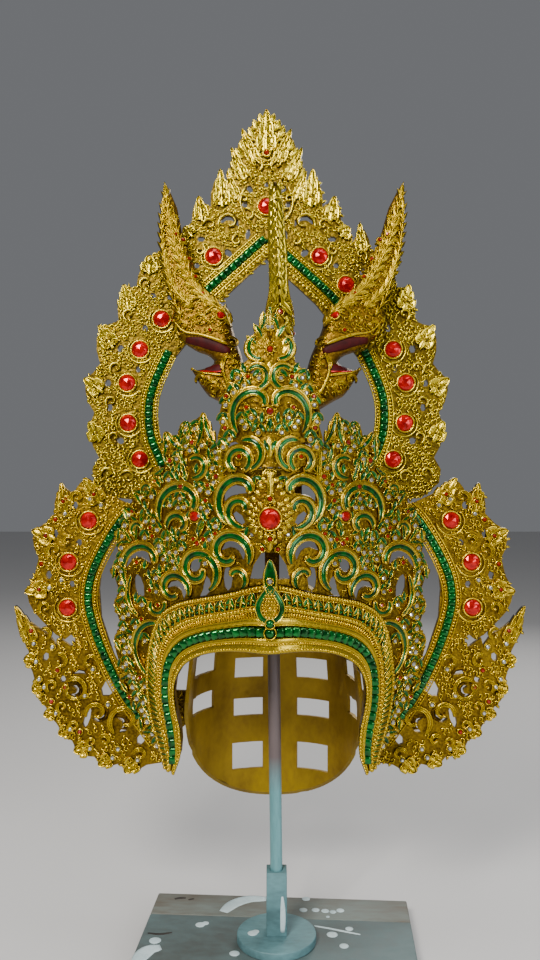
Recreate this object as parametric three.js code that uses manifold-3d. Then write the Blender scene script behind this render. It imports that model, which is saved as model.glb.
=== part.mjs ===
import * as THREE from 'three';
import { mergeVertices } from 'three/addons/utils/BufferGeometryUtils.js';
import Module from 'manifold-3d';

const wasm = await Module();
wasm.setup();

// ---- driving dimensions, millimetres, front faces -Y, up is +Z ----
const GAP = 0.3;
const STAND_X = 6.5;
const CAP_X = 4;
const NAGA_X = 6;
const HALO_X = -3.5;
const FRONT_NAGA_X = 9.5;
const BOARD = { width: 270, depth: 200, thick: 18, turn: -3.8, midY: -10, jointY: 45 };
const DISC = { radius: 39, thick: 8 };
const SOCKET = { side: 20, height: 62, bore: 22 };
const POST = { radius: 6, lean: -0.012 };
const CAP = { halfX: 88, halfY: 100, crown: 374, shoulder: 240, wall: 3.6, rimZ: 235, rimSlope: 1.1 };
const BROW_Y = -112;
const FLARE = { slope: 0.85, round: 22 };
const WALL_T = 5;
const HUG_T = 17;
const BAND_T = 6;
const SPIRE_T = 5;
const WING = { frontY: 5.2, thick: 5 };
const HALO = { frontY: 32, thick: 6 };
const COLUMN = { half: 25, frontY: -10, low: 440, top: 545, pinX: 2, pinHalf: 7, pinLow: 350 };
const NAGA = { head: 24, crest: 12, frontScaleX: 0.8, frontScaleZ: 0.86, baseZ: 545 };
const STONE = { radius: 8.4, rise: 5, sides: 9 };
const CHAIN = { step: 13, half: 3.6, thick: 3 };
const RELIEF = { sunk: 0.5, leaf: 3, scroll: 2.6, shortest: 14 };

// ---- finishes ----
const finish = (name, color, roughness, metalness) =>
  new THREE.MeshStandardMaterial({ name, color, roughness, metalness });
const GOLD = finish('gold_relief', 0xc9982b, 0.38, 0.9);
const HALO_GOLD = finish('halo_gold', 0xb9942e, 0.42, 0.9);
const OCHRE = finish('cap_ochre', 0xab7a12, 0.65, 0.15);
const RED = finish('red_stone', 0xc0120c, 0.12, 0);
const GREEN = finish('green_stone', 0x04693f, 0.14, 0);
const PAINT = finish('stand_paint', 0x7e8a8e, 0.6, 0);
const RUST = finish('post_metal', 0x6d6b66, 0.5, 0.6);

// ---- small helpers ----
const v2 = (x, y) => new THREE.Vector2(x, y);
const mirror = (pts) => pts.map((p) => v2(-p.x, p.y)).reverse();

function solidOf(geometry) {
  const clean = geometry.clone();
  clean.deleteAttribute('normal');
  clean.deleteAttribute('uv');
  const merged = mergeVertices(clean, 1e-4);
  const mesh = new wasm.Mesh({
    numProp: 3,
    vertProperties: new Float32Array(merged.attributes.position.array),
    triVerts: new Uint32Array(merged.index.array),
  });
  return new wasm.Manifold(mesh);
}

function geometryOf(solid) {
  const mesh = solid.getMesh();
  const geometry = new THREE.BufferGeometry();
  geometry.setAttribute('position', new THREE.BufferAttribute(new Float32Array(mesh.vertProperties), 3));
  geometry.setIndex(new THREE.BufferAttribute(new Uint32Array(mesh.triVerts), 1));
  return geometry;
}

function named(name, geometry, material) {
  const mesh = new THREE.Mesh(geometry, material);
  mesh.name = name;
  return mesh;
}

function group(name, ...children) {
  const node = new THREE.Group();
  node.name = name;
  node.add(...children);
  return node;
}

// Upright plate: the shape's x and y become X and Z, and it fills [backY - thick, backY].
function plate(outline, holes, thick, backY) {
  const turned = THREE.ShapeUtils.isClockWise(outline) ? outline.slice().reverse() : outline;
  const shape = new THREE.Shape(turned);
  holes.forEach((pts) => shape.holes.push(new THREE.Path(pts)));
  const geometry = new THREE.ExtrudeGeometry(shape, { depth: thick, bevelEnabled: false, steps: 1 });
  geometry.rotateX(Math.PI / 2);
  geometry.translate(0, backY, 0);
  return geometry;
}

// A bowed edge from a to b; a positive bow swells to the left of the way travelled.
function bowed(a, b, bow, count) {
  const span = b.clone().sub(a);
  const middle = a.clone().add(b).multiplyScalar(0.5);
  middle.add(v2(-span.y, span.x).multiplyScalar(bow));
  const curve = new THREE.QuadraticBezierCurve(a, middle, b);
  return curve.getPoints(count).slice(1);
}

// Flame leaves along an edge. Each row gives the tip and the notch after it.
function flameEdge(start, rows, hollow = -0.12, belly = 0.2, count = 2) {
  const out = [start];
  rows.forEach(([tipX, tipZ, notchX, notchZ]) => {
    const last = out[out.length - 1];
    const tip = v2(tipX, tipZ);
    out.push(...bowed(last, tip, hollow, count));
    out.push(...bowed(tip, v2(notchX, notchZ), belly, count + 1));
  });
  return out;
}

// Pierced gaps, all centred on (x, z), w wide, h high, turned by degrees.
function oval(x, z, w, h, turn = 0) {
  const count = w * h < 100 ? 6 : 8;
  const angle = THREE.MathUtils.degToRad(turn);
  return Array.from({ length: count }, (_, i) => {
    const a = (i * 2 * Math.PI) / count;
    return v2((w / 2) * Math.cos(a), (h / 2) * Math.sin(a)).rotateAround(v2(0, 0), angle).add(v2(x, z));
  });
}

// A gap under a scroll's arc: its outer edge follows the arc between two angles and its
// inner edge swells in by the given width, so that the scroll's curl is left standing.
function hook(x, z, radius, wide, fromDeg, toDeg) {
  const outer = 5;
  const at = (share, r) => {
    const a = THREE.MathUtils.degToRad(THREE.MathUtils.lerp(fromDeg, toDeg, share));
    return v2(x + r * Math.cos(a), z + r * Math.sin(a));
  };
  const pts = Array.from({ length: outer + 1 }, (_, i) => at(i / outer, radius));
  for (let i = 3; i >= 1; i -= 1) {
    pts.push(at(i / 4, radius - wide * Math.sin((Math.PI * i) / 4) ** 0.6));
  }
  return pts;
}

function gaps(rows, side) {
  return rows.map(([kind, ...sizes]) => {
    const pts = kind(...sizes);
    return side > 0 ? pts : mirror(pts);
  });
}

const bothSides = (rows) => [...gaps(rows, 1), ...gaps(rows, -1)];

// The wall is bent in flat facets between these distances from the middle.
const BEND_AT = [0, 15, 34, 62, 104, 170];
const hollow = (x) => Math.hypot(x, FLARE.round) - FLARE.round;

function flare(x, slope = FLARE.slope) {
  const far = Math.min(Math.abs(x), BEND_AT[BEND_AT.length - 1] - 1e-6);
  const k = BEND_AT.findIndex((edge) => far < edge);
  const [lo, hi] = [BEND_AT[k - 1], BEND_AT[k]];
  const drop = THREE.MathUtils.lerp(hollow(lo), hollow(hi), (far - lo) / (hi - lo));
  return BROW_Y + slope * drop;
}

const snap = (value) => Math.round(value * 1e3) / 1e3;

// Cuts a flat plate into upright strips, shears each strip to the wall's facets and joins them again.
function bend(geometry, slopeAt = () => FLARE.slope) {
  const flat = solidOf(geometry);
  const { min, max } = new THREE.Box3().setFromBufferAttribute(geometry.attributes.position);
  const edges = BEND_AT.flatMap((x) => (x ? [-x, x] : [0])).sort((p, q) => p - q);
  const inner = edges.filter((x) => x > min.x + 0.5 && x < max.x - 0.5);
  const cuts = [min.x - 1, ...inner, max.x + 1];
  let whole = null;
  cuts.slice(1).forEach((to, i) => {
    const from = cuts[i];
    const cutter = slab(to - from, 200, 1200, (from + to) / 2, 0, 500);
    const strip = geometryOf(flat.intersect(solidOf(cutter)));
    const at = strip.attributes.position;
    for (let k = 0; k < at.count; k += 1) {
      const x = snap(at.getX(k));
      const z = snap(at.getZ(k));
      at.setXYZ(k, x, snap(at.getY(k)) + snap(flare(x, slopeAt(z))), z);
    }
    const solid = solidOf(strip);
    whole = whole ? whole.add(solid) : solid;
  });
  return geometryOf(whole);
}

// ---- cast relief, raised on the front of a plate ----
// A crested ridge along a path, pointed at both ends. Its flat back is sunk behind y = frontY.
function crested(path, half, rise, frontY = 0) {
  const last = path.length - 1;
  const backY = frontY + RELIEF.sunk;
  const points = [path[0].x, backY, path[0].y];
  for (let i = 1; i < last; i += 1) {
    const p = path[i];
    const across = path[i + 1].clone().sub(path[i - 1]).normalize().rotateAround(v2(0, 0), Math.PI / 2);
    across.multiplyScalar(half * Math.sin(Math.PI * (0.2 + (0.6 * i) / last)));
    points.push(p.x - across.x, backY, p.y - across.y);
    points.push(p.x + across.x, backY, p.y + across.y);
    points.push(p.x, frontY - rise, p.y);
  }
  points.push(path[last].x, backY, path[last].y);
  const corner = (i, k) => (i === 0 ? 0 : i === last ? 3 * last - 2 : 3 * i - 2 + (k % 3));
  const faces = [];
  for (let i = 0; i < last; i += 1) {
    for (let k = 0; k < 3; k += 1) {
      const [a, b, c, d] = [corner(i, k), corner(i, k + 1), corner(i + 1, k + 1), corner(i + 1, k)];
      faces.push(...(a === b ? [] : [a, b, c]), ...(c === d ? [] : [a, c, d]));
    }
  }
  const geometry = new THREE.BufferGeometry();
  geometry.setAttribute('position', new THREE.Float32BufferAttribute(points, 3));
  geometry.setIndex(faces);
  return solidOf(geometry);
}

// The outer stretch of a scroll: its radius shrinks evenly as it turns from a bearing.
function scrollPath(x, z, start, end, bearing, turn) {
  const count = Math.max(3, Math.round(Math.abs(turn) / 46));
  return Array.from({ length: count + 1 }, (_, i) => {
    const angle = THREE.MathUtils.degToRad(bearing + (turn * i) / count);
    const radius = THREE.MathUtils.lerp(start, end, i / count);
    return v2(x + radius * Math.cos(angle), z + radius * Math.sin(angle));
  });
}

const scrolls = (rows, half) => rows.map((row) => [scrollPath(...row), half, RELIEF.scroll]);

// One leaf on each flame of an edge, from between its notches to its tip.
function leaves(start, rows) {
  let from = start;
  return rows.map(([tipX, tipZ, notchX, notchZ]) => {
    const tip = v2(tipX, tipZ);
    const to = v2(notchX, notchZ);
    const middle = from.clone().add(to).multiplyScalar(0.5);
    const root = middle.clone().lerp(tip, -0.4);
    const half = Math.min(from.distanceTo(to) * 0.24, root.distanceTo(tip) * 0.42);
    from = to;
    return [[root, middle.lerp(tip, 0.1), tip.lerp(root, 0.1)], half, RELIEF.leaf];
  }).filter(([[root, , tip]]) => root.distanceTo(tip) > RELIEF.shortest);
}

const across = ([path, ...sizes]) => [path.map((p) => v2(-p.x, p.y)), ...sizes];
const paired = (rows) => [...rows, ...rows.map(across)];

function raised(geometry, rows, frontY) {
  const ridges = rows.map(([path, half, rise]) => crested(path, half, rise, frontY));
  return geometryOf(wasm.Manifold.union([solidOf(geometry), ...ridges]));
}

// ---- skull cap ----
function capRing(angle, grow) {
  const c = Math.cos(angle);
  const s = Math.sin(angle);
  const power = 2.5;
  const k = (Math.abs(c) ** power + Math.abs(s) ** power) ** (-1 / power);
  return v2((CAP.halfX + grow) * k * c, (CAP.halfY + grow) * k * s);
}

function capScale(z, grow) {
  const rise = Math.max(0, z - CAP.shoulder) / (CAP.crown + grow - CAP.shoulder);
  return Math.max(0, 1 - rise ** 2.3) ** (1 / 2.3);
}

// Closed dome solid of the cap, grown outward by a margin; used whole, hollowed and as a cutter.
function capDome(grow, around = 22, low = 110) {
  const profile = [0, 0.45, 0.7, 0.86, 0.95, 0.99].map((t) => t * (CAP.crown + grow - CAP.shoulder));
  const levels = [low, 190, ...profile.map((t) => CAP.shoulder + t)];
  const rows = levels.map((z) => v2(capScale(z, grow), z));
  const closed = [v2(0, low), ...rows, v2(0, CAP.crown + grow)];
  const geometry = new THREE.LatheGeometry(closed, around);
  geometry.rotateX(Math.PI / 2);
  const at = geometry.attributes.position;
  for (let i = 0; i < at.count; i += 1) {
    const angle = Math.atan2(at.getY(i), at.getX(i));
    const reach = Math.hypot(at.getX(i), at.getY(i));
    const ring = capRing(angle, grow);
    at.setXY(i, CAP_X + ring.x * reach, ring.y * reach);
  }
  return solidOf(geometry);
}

function slab(w, d, h, x, y, z) {
  const box = new THREE.BoxGeometry(w, d, h);
  box.translate(x, y, z);
  return box;
}

// Everything under the slanting rim plane z = rimZ - rimSlope * y.
function underRim() {
  const side = [v2(-160, 0), v2(160, 0), v2(160, CAP.rimZ - CAP.rimSlope * 160),
    v2(-160, CAP.rimZ + CAP.rimSlope * 160)];
  const prism = new THREE.ExtrudeGeometry(new THREE.Shape(side), { depth: 260, bevelEnabled: false });
  prism.rotateX(Math.PI / 2);
  prism.rotateZ(Math.PI / 2);
  prism.translate(-130, 0, 0);
  return solidOf(prism);
}

// Lattice windows: bearings round the cap (90 is the back), low and high edge.
const LATTICE = [
  [97, 116, 256, 278], [53, 75, 256, 278], [131, 160, 268, 290], [14, 35, 268, 290],
  [97, 116, 214, 233], [53, 75, 214, 233], [131, 158, 228, 247], [16, 35, 228, 247],
  [97, 117, 156, 185], [54, 75, 156, 185],
  [97, 114, 300, 320], [56, 75, 300, 320], [130, 152, 306, 324], [26, 46, 306, 324],
];

// An upright wedge from the cap's middle outward between two bearings.
function wedge(fromDeg, toDeg, low, high) {
  const reach = (deg) => v2(0, 150).rotateAround(v2(0, 0), THREE.MathUtils.degToRad(deg - 90));
  const mid = (fromDeg + toDeg) / 2;
  const shape = new THREE.Shape([v2(0, 0), reach(fromDeg), reach(mid).multiplyScalar(1.1), reach(toDeg)]);
  const prism = new THREE.ExtrudeGeometry(shape, { depth: high - low, bevelEnabled: false });
  prism.translate(CAP_X, 0, low);
  return solidOf(prism);
}

function skullCap() {
  let cap = capDome(0).subtract(capDome(-CAP.wall, 22, 100));
  cap = cap.subtract(underRim());
  const face = solidOf(plate(archOutline(-1.5, 60), [], 130, -20));
  cap = cap.subtract(face);
  LATTICE.forEach((row) => {
    cap = cap.subtract(wedge(...row));
  });
  return named('skull_cap', geometryOf(cap), OCHRE);
}

// ---- brow: the inverted U round the face ----
// Inner edge of the right half, from the middle down to the leg's foot.
const ARCH_IN = [[0, 323], [22, 323.5], [44, 320.5], [63, 314], [78, 303], [86, 289], [88, 275],
  [86, 260], [82, 245], [81, 231], [82, 219], [88, 203]];
const ARCH_OUT = [[0, 383], [14, 381], [38, 373], [65, 366], [86, 359], [103, 345], [112, 320],
  [116, 283], [112, 252], [106, 233], [101, 218], [97, 206]];

function archCurve(rows) {
  return new THREE.CatmullRomCurve3(rows.map(([x, z]) => new THREE.Vector3(x, z, 0)));
}

// The face opening, grown by a margin, as a closed outline that runs on below the legs.
function archOutline(grow, below) {
  const right = ARCH_IN.map(([x, z], i) => v2(x + (i ? grow : 0), z + (i < 6 ? grow : 0)));
  const foot = right[right.length - 1];
  const half = [...right, v2(foot.x, foot.y - below)];
  return [...half.slice().reverse(), ...half.slice(1).map((p) => v2(-p.x, p.y))];
}

// Across the band from the face outward: share of the width on top, share on the legs, relief.
const BAND_PROFILE = [[0, 0, 2.2], [0.1, 0.03, 3], [0.17, 0.06, 0.6], [0.38, 0.52, 0.6],
  [0.43, 0.58, 2.8], [0.58, 0.72, 2.8], [0.64, 0.8, 1.4], [1, 1, 0]];
const BAND_FLOOR = BAND_T + 0.6;

// The point at share t of the way down one side, and across at the given shares.
function bandPoint(t, top, leg) {
  const share = THREE.MathUtils.lerp(top, leg, THREE.MathUtils.smoothstep(t, 0.35, 0.62));
  return archCurve(ARCH_IN).getPoint(t).lerp(archCurve(ARCH_OUT).getPoint(t), share);
}

function browBand() {
  const across = BAND_PROFILE.length - 1;
  const along = 20;
  const box = new THREE.BoxGeometry(1, 1, 1, along, 1, across);
  const at = box.attributes.position;
  for (let i = 0; i < at.count; i += 1) {
    const [top, leg, rise] = BAND_PROFILE[Math.round((at.getZ(i) + 0.5) * across)];
    const p = bandPoint(Math.abs(at.getX(i) * 2), top, leg);
    const y = at.getY(i) < 0 ? -BAND_T - rise : -GAP;
    at.setXYZ(i, Math.sign(at.getX(i)) * p.x, y, p.y);
  }
  return named('brow_band', bend(box), GOLD);
}

const DROP = [[0, 404], [4, 393], [3, 384], [9, 379], [12, 368], [9, 357], [0, 350]];

function browDrop() {
  const right = DROP.map(([x, z]) => v2(x, z));
  const outline = [...right, ...mirror(right).slice(1, -1)];
  const drop = plate(outline, [], 4, -BAND_T - 2.8 - GAP);
  return named('brow_drop', bend(drop), GOLD);
}

// ---- tiara wall ----
const WALL_LEAVES = [
  [60, 530, 73, 516], [80, 523, 85, 512], [97, 515, 97, 486], [108, 471, 113, 462],
  [131, 460, 133, 450], [142, 444, 141, 430], [149, 410, 148, 399], [152, 389, 149, 366],
  [150, 351, 147, 333], [151, 316, 149, 296], [143, 280, 134, 255], [118, 236, 105, 216],
];

const WALL_GAPS = [
  [hook, 28.6, 455, 11.7, 9, -20, 155], [oval, 26.8, 438, 7, 14, -40], [hook, 31.8, 408, 10.9, 7, 5, 215],
  [oval, 36.7, 385, 8, 22, 0], [oval, 67.3, 394, 9, 13, 25], [hook, 63, 377, 10.9, 7.5, 115, 270],
  [hook, 85.7, 369, 9.7, 6.2, 10, 225], [hook, 127, 393, 14.5, 11, -30, 185],
  [oval, 125, 369, 10, 24, -12], [oval, 7.5, 475.5, 5, 14, 35],
];

// Scroll ridges: centre, radius at the start and at the end, bearing, turn.
const WALL_SCROLLS = [
  [21.7, 458.4, 29.5, 6, -58, 200], [25.1, 445.3, 15.7, 7, -95, 190], [36.3, 407.5, 19.6, 9, -154, -260],
  [65.5, 390, 20, 9, -140, -270], [89, 370.9, 15.6, 9, -185, -210], [78.8, 446.9, 27.3, 9, -31, 220],
  [115.5, 390.9, 33.4, 8, -50, 200], [107.5, 345.1, 42.8, 22, 50, -52], [101.9, 318.8, 23, 31, 38, -70],
];

function tiaraWall(capCutter) {
  const right = [...flameEdge(v2(42, 492), WALL_LEAVES), v2(92, 203)];
  const arch = ARCH_IN.slice().reverse().map(([x, z]) => v2(x, z));
  const half = [v2(0, 497), ...right, ...arch];
  const outline = [...half, ...mirror(half).slice(1, -1)];
  const keyhole = [v2(-7, 409), v2(-14, 398), v2(-17, 386), v2(17, 386), v2(14, 398), v2(7, 409)];
  const flat = plate(outline, [keyhole, ...bothSides(WALL_GAPS)], WALL_T, WALL_T);
  const relief = paired([...leaves(v2(42, 492), WALL_LEAVES), ...scrolls(WALL_SCROLLS, 2.8)]);
  const front = solidOf(bend(raised(flat, relief, 0)));
  const hugIn = archOutline(0, 0);
  const hugOut = archOutline(11, 0);
  const strip = [...hugOut, ...hugIn.slice().reverse()];
  const hug = solidOf(bend(plate(strip, [], HUG_T - 2, HUG_T)));
  const wall = front.add(hug).subtract(capCutter);
  return named('tiara_wall', geometryOf(wall), GOLD);
}

// ---- spire ----
const SPIRE_EDGE = [[0, 618], [4, 610], [9, 602], [13, 596], [20, 588], [20, 580], [17, 575], [22, 571],
  [28, 565], [29, 558], [36, 555], [40, 542], [44, 527], [42, 520], [46, 508], [43, 497], [42, 487],
  [24, 482]];
const SPIRE_GAPS = [[hook, 12, 560, 5, 3.6, 20, 200], [oval, 9, 546, 3.6, 8, 20],
  [hook, 31, 497, 7, 4.5, -10, 170]];

const SPIRE_SCROLLS = [[8.5, 583, 10, 9, 60, -150], [12.5, 560, 11.5, 7, 264, -200],
  [8.5, 533, 28.9, 7, -48, 190], [21, 495, 10, 15, 73, 170]];
const SPIRE_LEAF = [[v2(0, 586), v2(0, 596), v2(0, 615)], 3.6, RELIEF.leaf];

// The spire stands flatter than the wall above the height where the two part.
const spireSlope = (z) => THREE.MathUtils.lerp(FLARE.slope, 0.35, THREE.MathUtils.smoothstep(z, 490, 545));

function spire() {
  const right = SPIRE_EDGE.map(([x, z]) => v2(x, z));
  const outline = [...right, ...mirror(right).slice(0, -1)];
  const flat = plate(outline, bothSides(SPIRE_GAPS), SPIRE_T, -GAP);
  const relief = [SPIRE_LEAF, ...paired(scrolls(SPIRE_SCROLLS, 2.4))];
  return named('spire', bend(raised(flat, relief, -GAP - SPIRE_T), spireSlope), GOLD);
}

const MEDALLION = [[0, 479], [8, 470], [12, 459], [19, 450], [21, 438], [17, 427], [9, 419], [0, 411]];

function medallion() {
  const right = MEDALLION.map(([x, z]) => v2(x, z));
  const outline = [...right, ...mirror(right).slice(1, -1)];
  return named('medallion', bend(plate(outline, [], 4, -GAP)), GOLD);
}

// ---- wings ----
const WING_LEAVES = [
  [183, 472, 194, 457], [206, 467, 213, 438], [234, 421, 229, 394], [241, 361, 226, 332],
];
const WING_SLOT = [[212, 318], [203, 313], [197, 318], [193, 315], [193, 306], [198, 307], [209, 315],
  [211, 307], [219, 318], [232, 326]];
const WING_LOWER = [
  [251, 345, 241, 306], [238, 297, 235, 281], [233, 265, 225, 249], [221, 245, 212, 231],
  [208, 223, 196, 213], [193, 204, 174, 197], [169, 190, 150, 190], [143, 183, 122, 189],
];
const WING_IN = [[103, 192], [100, 214], [78, 234], [78, 262], [136, 264], [155, 299], [167, 335], [169, 363],
  [167, 380], [161, 403], [147, 427], [133, 444]];
const WING_GAPS = [
  [hook, 187, 276, 8, 5, 20, 170], [hook, 193, 262, 6.5, 5, 60, 330], [oval, 181, 236, 6, 22, 15],
  [hook, 169, 239, 8, 6, 100, 330], [hook, 148, 229, 8.5, 6.5, 60, 280], [oval, 128, 214, 8, 12, 20],
  [oval, 157, 268, 14, 28, 40], [oval, 222, 296, 6, 9, 20], [oval, 205, 274, 6, 7, 0],
  [oval, 213, 418, 7, 9, 0], [oval, 189, 409, 6, 8, 20], [oval, 219, 377, 6, 9, 0],
  [oval, 196, 368, 6, 7, 0], [oval, 193, 446, 6, 8, 0],
];

const WING_SCROLLS = [[187, 276, 11, 7, -20, 230], [169, 239, 11, 5, 60, 240], [148, 229, 11, 5, 20, 250],
  [193, 262, 9, 4, 60, 230]];

function wing(name, side, capCutter) {
  const row = (list) => list.map(([x, z]) => v2(x, z));
  const upper = flameEdge(v2(150, 452), WING_LEAVES);
  const lower = flameEdge(v2(232, 326), WING_LOWER);
  const half = [...upper, ...row(WING_SLOT), ...lower.slice(1), ...row(WING_IN)];
  const outline = side > 0 ? half : mirror(half);
  const flat = plate(outline, gaps(WING_GAPS, side), WING.thick, WING.frontY + WING.thick);
  const rows = [...leaves(v2(150, 452), WING_LEAVES), ...leaves(v2(232, 326), WING_LOWER),
    ...scrolls(WING_SCROLLS, 2.6)];
  const whole = solidOf(raised(flat, side > 0 ? rows : rows.map(across), WING.frontY));
  return named(name, geometryOf(whole.subtract(capCutter)), GOLD);
}

// ---- halo ----
const HALO_LEAVES = [
  [15, 833, 20, 823], [25, 821, 30, 803], [36, 796, 34, 764], [47, 786, 57, 750], [69, 759, 76, 735],
  [84, 728, 87, 712], [95, 732, 106, 708], [119, 699, 133, 668], [145, 669, 151, 634], [170, 628, 170, 590],
  [185, 574, 176, 540], [180, 530, 171, 494],
];
const HALO_FOOT = [[178, 482], [176, 468], [158, 453], [122, 450], [112, 468]];
const HALO_IN = [[0, 697], [50, 651], [80, 613], [100, 588], [111, 562], [113, 537], [108, 514], [98, 492]];
const HALO_GAPS = [
  [hook, 38, 733, 10, 7, -10, 200], [oval, 17, 768, 6, 9, -20], [oval, 22, 752, 6, 6, 0],
  [oval, 19, 722, 5, 12, 10], [oval, 39, 703, 7, 10, -40], [oval, 67, 717, 9, 6, 0],
  [oval, 71, 690, 6, 6, 0], [oval, 99, 683, 9, 8, -30], [oval, 116, 658, 7, 9, 0],
  [oval, 98, 657, 7, 9, 0], [oval, 124, 626, 6, 8, 0], [oval, 149, 605, 7, 9, 0],
  [oval, 131, 584, 5, 7, 0], [oval, 162, 570, 7, 8, 0], [oval, 160, 545, 6, 8, 0],
  [oval, 149, 511, 8, 7, 20],
];

const HALO_SCROLLS = [[38, 733, 12, 7, -30, 230], [141, 474, 9, 5, 20, 220]];
const HALO_LEAF = [[v2(0, 806), v2(0, 820), v2(0, 842)], 8, RELIEF.leaf];

function halo() {
  const right = flameEdge(v2(0, 846), HALO_LEAVES);
  const half = [...right, ...HALO_FOOT.map(([x, z]) => v2(x, z))];
  const outline = [...half, ...mirror(half).slice(0, -1)];
  const inside = HALO_IN.map(([x, z]) => v2(x, z));
  const opening = [...inside, ...mirror(inside).slice(0, -1)];
  const holes = [opening, oval(0, 772, 4, 7), ...bothSides(HALO_GAPS)];
  const flat = plate(outline, holes, HALO.thick, HALO.frontY + HALO.thick);
  const rows = [...leaves(v2(0, 846), HALO_LEAVES), ...scrolls(HALO_SCROLLS, 2.6)];
  return named('halo', raised(flat, [HALO_LEAF, ...paired(rows)], HALO.frontY), HALO_GOLD);
}

// ---- serpent heads ----
// Profile facing +x: distance from the cluster's axis, height.
const SERPENT_HEAD = [[25.3, 490], [32, 494], [34, 525], [42, 540], [57, 549], [67, 554], [75, 565],
  [84, 581], [77, 580], [73, 588], [78, 598], [88, 604], [98, 613], [106, 628], [103, 643],
  [94, 650], [72, 655], [50, 640], [43, 616], [35, 596], [29, 575], [25.3, 545]];
const SERPENT_CREST = [[70, 636], [98, 636], [106, 650], [112, 664], [119, 688], [122, 722], [119, 768],
  [113, 758], [105, 741], [101, 725], [98, 711], [89, 689], [77, 664]];

// Ridges on both cheeks, and along the crest: points, half width.
const SERPENT_RIDGES = [
  [[[42, 556], [56, 576], [80, 581]], 4], [[[46, 606], [68, 618], [101, 616]], 4],
  [[[47, 616], [56, 644], [98, 644]], 4], [[[50, 631], [56, 632], [63, 633]], 4.5],
];
const CREST_RIDGES = [[[[84, 652], [104, 686], [116, 760]], 4.5]];

function serpentSolid(turnFront) {
  const fit = ([x, z]) => (turnFront
    ? v2(x * NAGA.frontScaleX, NAGA.baseZ + (z - NAGA.baseZ) * NAGA.frontScaleZ)
    : v2(x, z));
  const cheek = (rows, thick) => rows.flatMap(([points, half]) => {
    const ridge = crested(points.map(fit), half, RELIEF.scroll, -thick / 2);
    return [ridge, ridge.mirror([0, 1, 0])];
  });
  const headShape = new THREE.Shape(SERPENT_HEAD.map(fit));
  const crestShape = new THREE.Shape(SERPENT_CREST.map(fit));
  const head = new THREE.ExtrudeGeometry(headShape, { bevelEnabled: false, depth: NAGA.head });
  const crest = new THREE.ExtrudeGeometry(crestShape, { bevelEnabled: false, depth: NAGA.crest });
  head.rotateX(Math.PI / 2);
  crest.rotateX(Math.PI / 2);
  head.translate(0, NAGA.head / 2, 0);
  crest.translate(0, NAGA.crest / 2, 0);
  const ridges = [...cheek(SERPENT_RIDGES, NAGA.head), ...cheek(CREST_RIDGES, NAGA.crest)];
  return wasm.Manifold.union([solidOf(head), solidOf(crest), ...ridges]);
}

// Slims the head toward the snout by the given share and the crest toward its tip.
function slim(geometry, loss) {
  const at = geometry.attributes.position;
  for (let i = 0; i < at.count; i += 1) {
    const x = at.getX(i);
    const z = at.getZ(i);
    const snout = 1 - loss * THREE.MathUtils.smoothstep(x, 45, 104);
    const tip = 1 - 0.6 * THREE.MathUtils.smoothstep(z, 690, 766);
    at.setY(i, at.getY(i) * snout * tip);
  }
  return geometry;
}

// Leans the tall crests sideways by a distance reached between two heights.
function sway(geometry, distance, low, high) {
  const at = geometry.attributes.position;
  for (let i = 0; i < at.count; i += 1) {
    at.setX(i, at.getX(i) + distance * THREE.MathUtils.clamp((at.getZ(i) - low) / (high - low), 0, 1));
  }
  return geometry;
}

function sideSerpent(name, side) {
  const body = slim(geometryOf(serpentSolid(false)), 0.45);
  if (side < 0) {
    body.rotateZ(Math.PI);
  }
  body.translate(NAGA_X, 8, 0);
  return named(name, sway(body, 8, 590, 768), GOLD);
}

function frontSerpent() {
  const body = slim(geometryOf(serpentSolid(true)), 0.1);
  body.rotateZ(-Math.PI / 2);
  body.translate(FRONT_NAGA_X, COLUMN.frontY - GAP + 25.3 * NAGA.frontScaleX, 0);
  return named('naga_centre', sway(body, -5.5, 615, 745), GOLD);
}

function neckColumn(capCutter) {
  const depth = HALO.frontY - GAP - COLUMN.frontY;
  const { half, frontY, low, top, pinX, pinHalf, pinLow } = COLUMN;
  const block = slab(half * 2, depth, top - low, NAGA_X, frontY + depth / 2, (top + low) / 2);
  const pin = slab(pinHalf * 2, pinHalf * 2, low - pinLow + 2, pinX, frontY + pinHalf, (low + 2 + pinLow) / 2);
  const whole = solidOf(block).add(solidOf(pin)).subtract(capCutter);
  return named('neck_column', geometryOf(whole), GOLD);
}

// ---- stones ----
// A faceted button whose back lies on the plane y, facing -Y.
function button(radius, rise, x, y, z, lean = 0) {
  const cut = new THREE.CylinderGeometry(radius, radius * 0.62, rise, STONE.sides);
  cut.translate(0, -rise / 2 - GAP, 0);
  cut.rotateZ(lean);
  cut.translate(x, y, z);
  return cut;
}

const HALO_STONES = [[54, 699], [81, 670], [107, 635], [129, 604], [142, 570], [141, 529], [129, 492]];
const WING_STONES = [[179, 431], [199, 390], [200, 345]];

function pairs(prefix, rows, y, radius) {
  return rows.flatMap(([x, z], i) => [-1, 1].map((side) => {
    const tag = `${prefix}_${side < 0 ? 'left' : 'right'}_${i + 1}`;
    return named(tag, button(radius, STONE.rise, side * x, y, z), RED);
  }));
}

// A stretch of small stones along a path: a plain strip in front of the plane y = backY.
function chainPlate(rows, thick, backY) {
  const curve = archCurve(rows);
  const count = Math.max(2, Math.round(curve.getLength() / CHAIN.step));
  const left = [];
  const right = [];
  for (let i = 0; i <= count; i += 1) {
    const p = curve.getPointAt(i / count);
    const d = curve.getTangentAt(i / count).multiplyScalar(CHAIN.half);
    left.push(v2(p.x - d.y, p.y + d.x));
    right.push(v2(p.x + d.y, p.y - d.x));
  }
  return plate([...left, ...right.reverse()], [], thick, backY);
}

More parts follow.
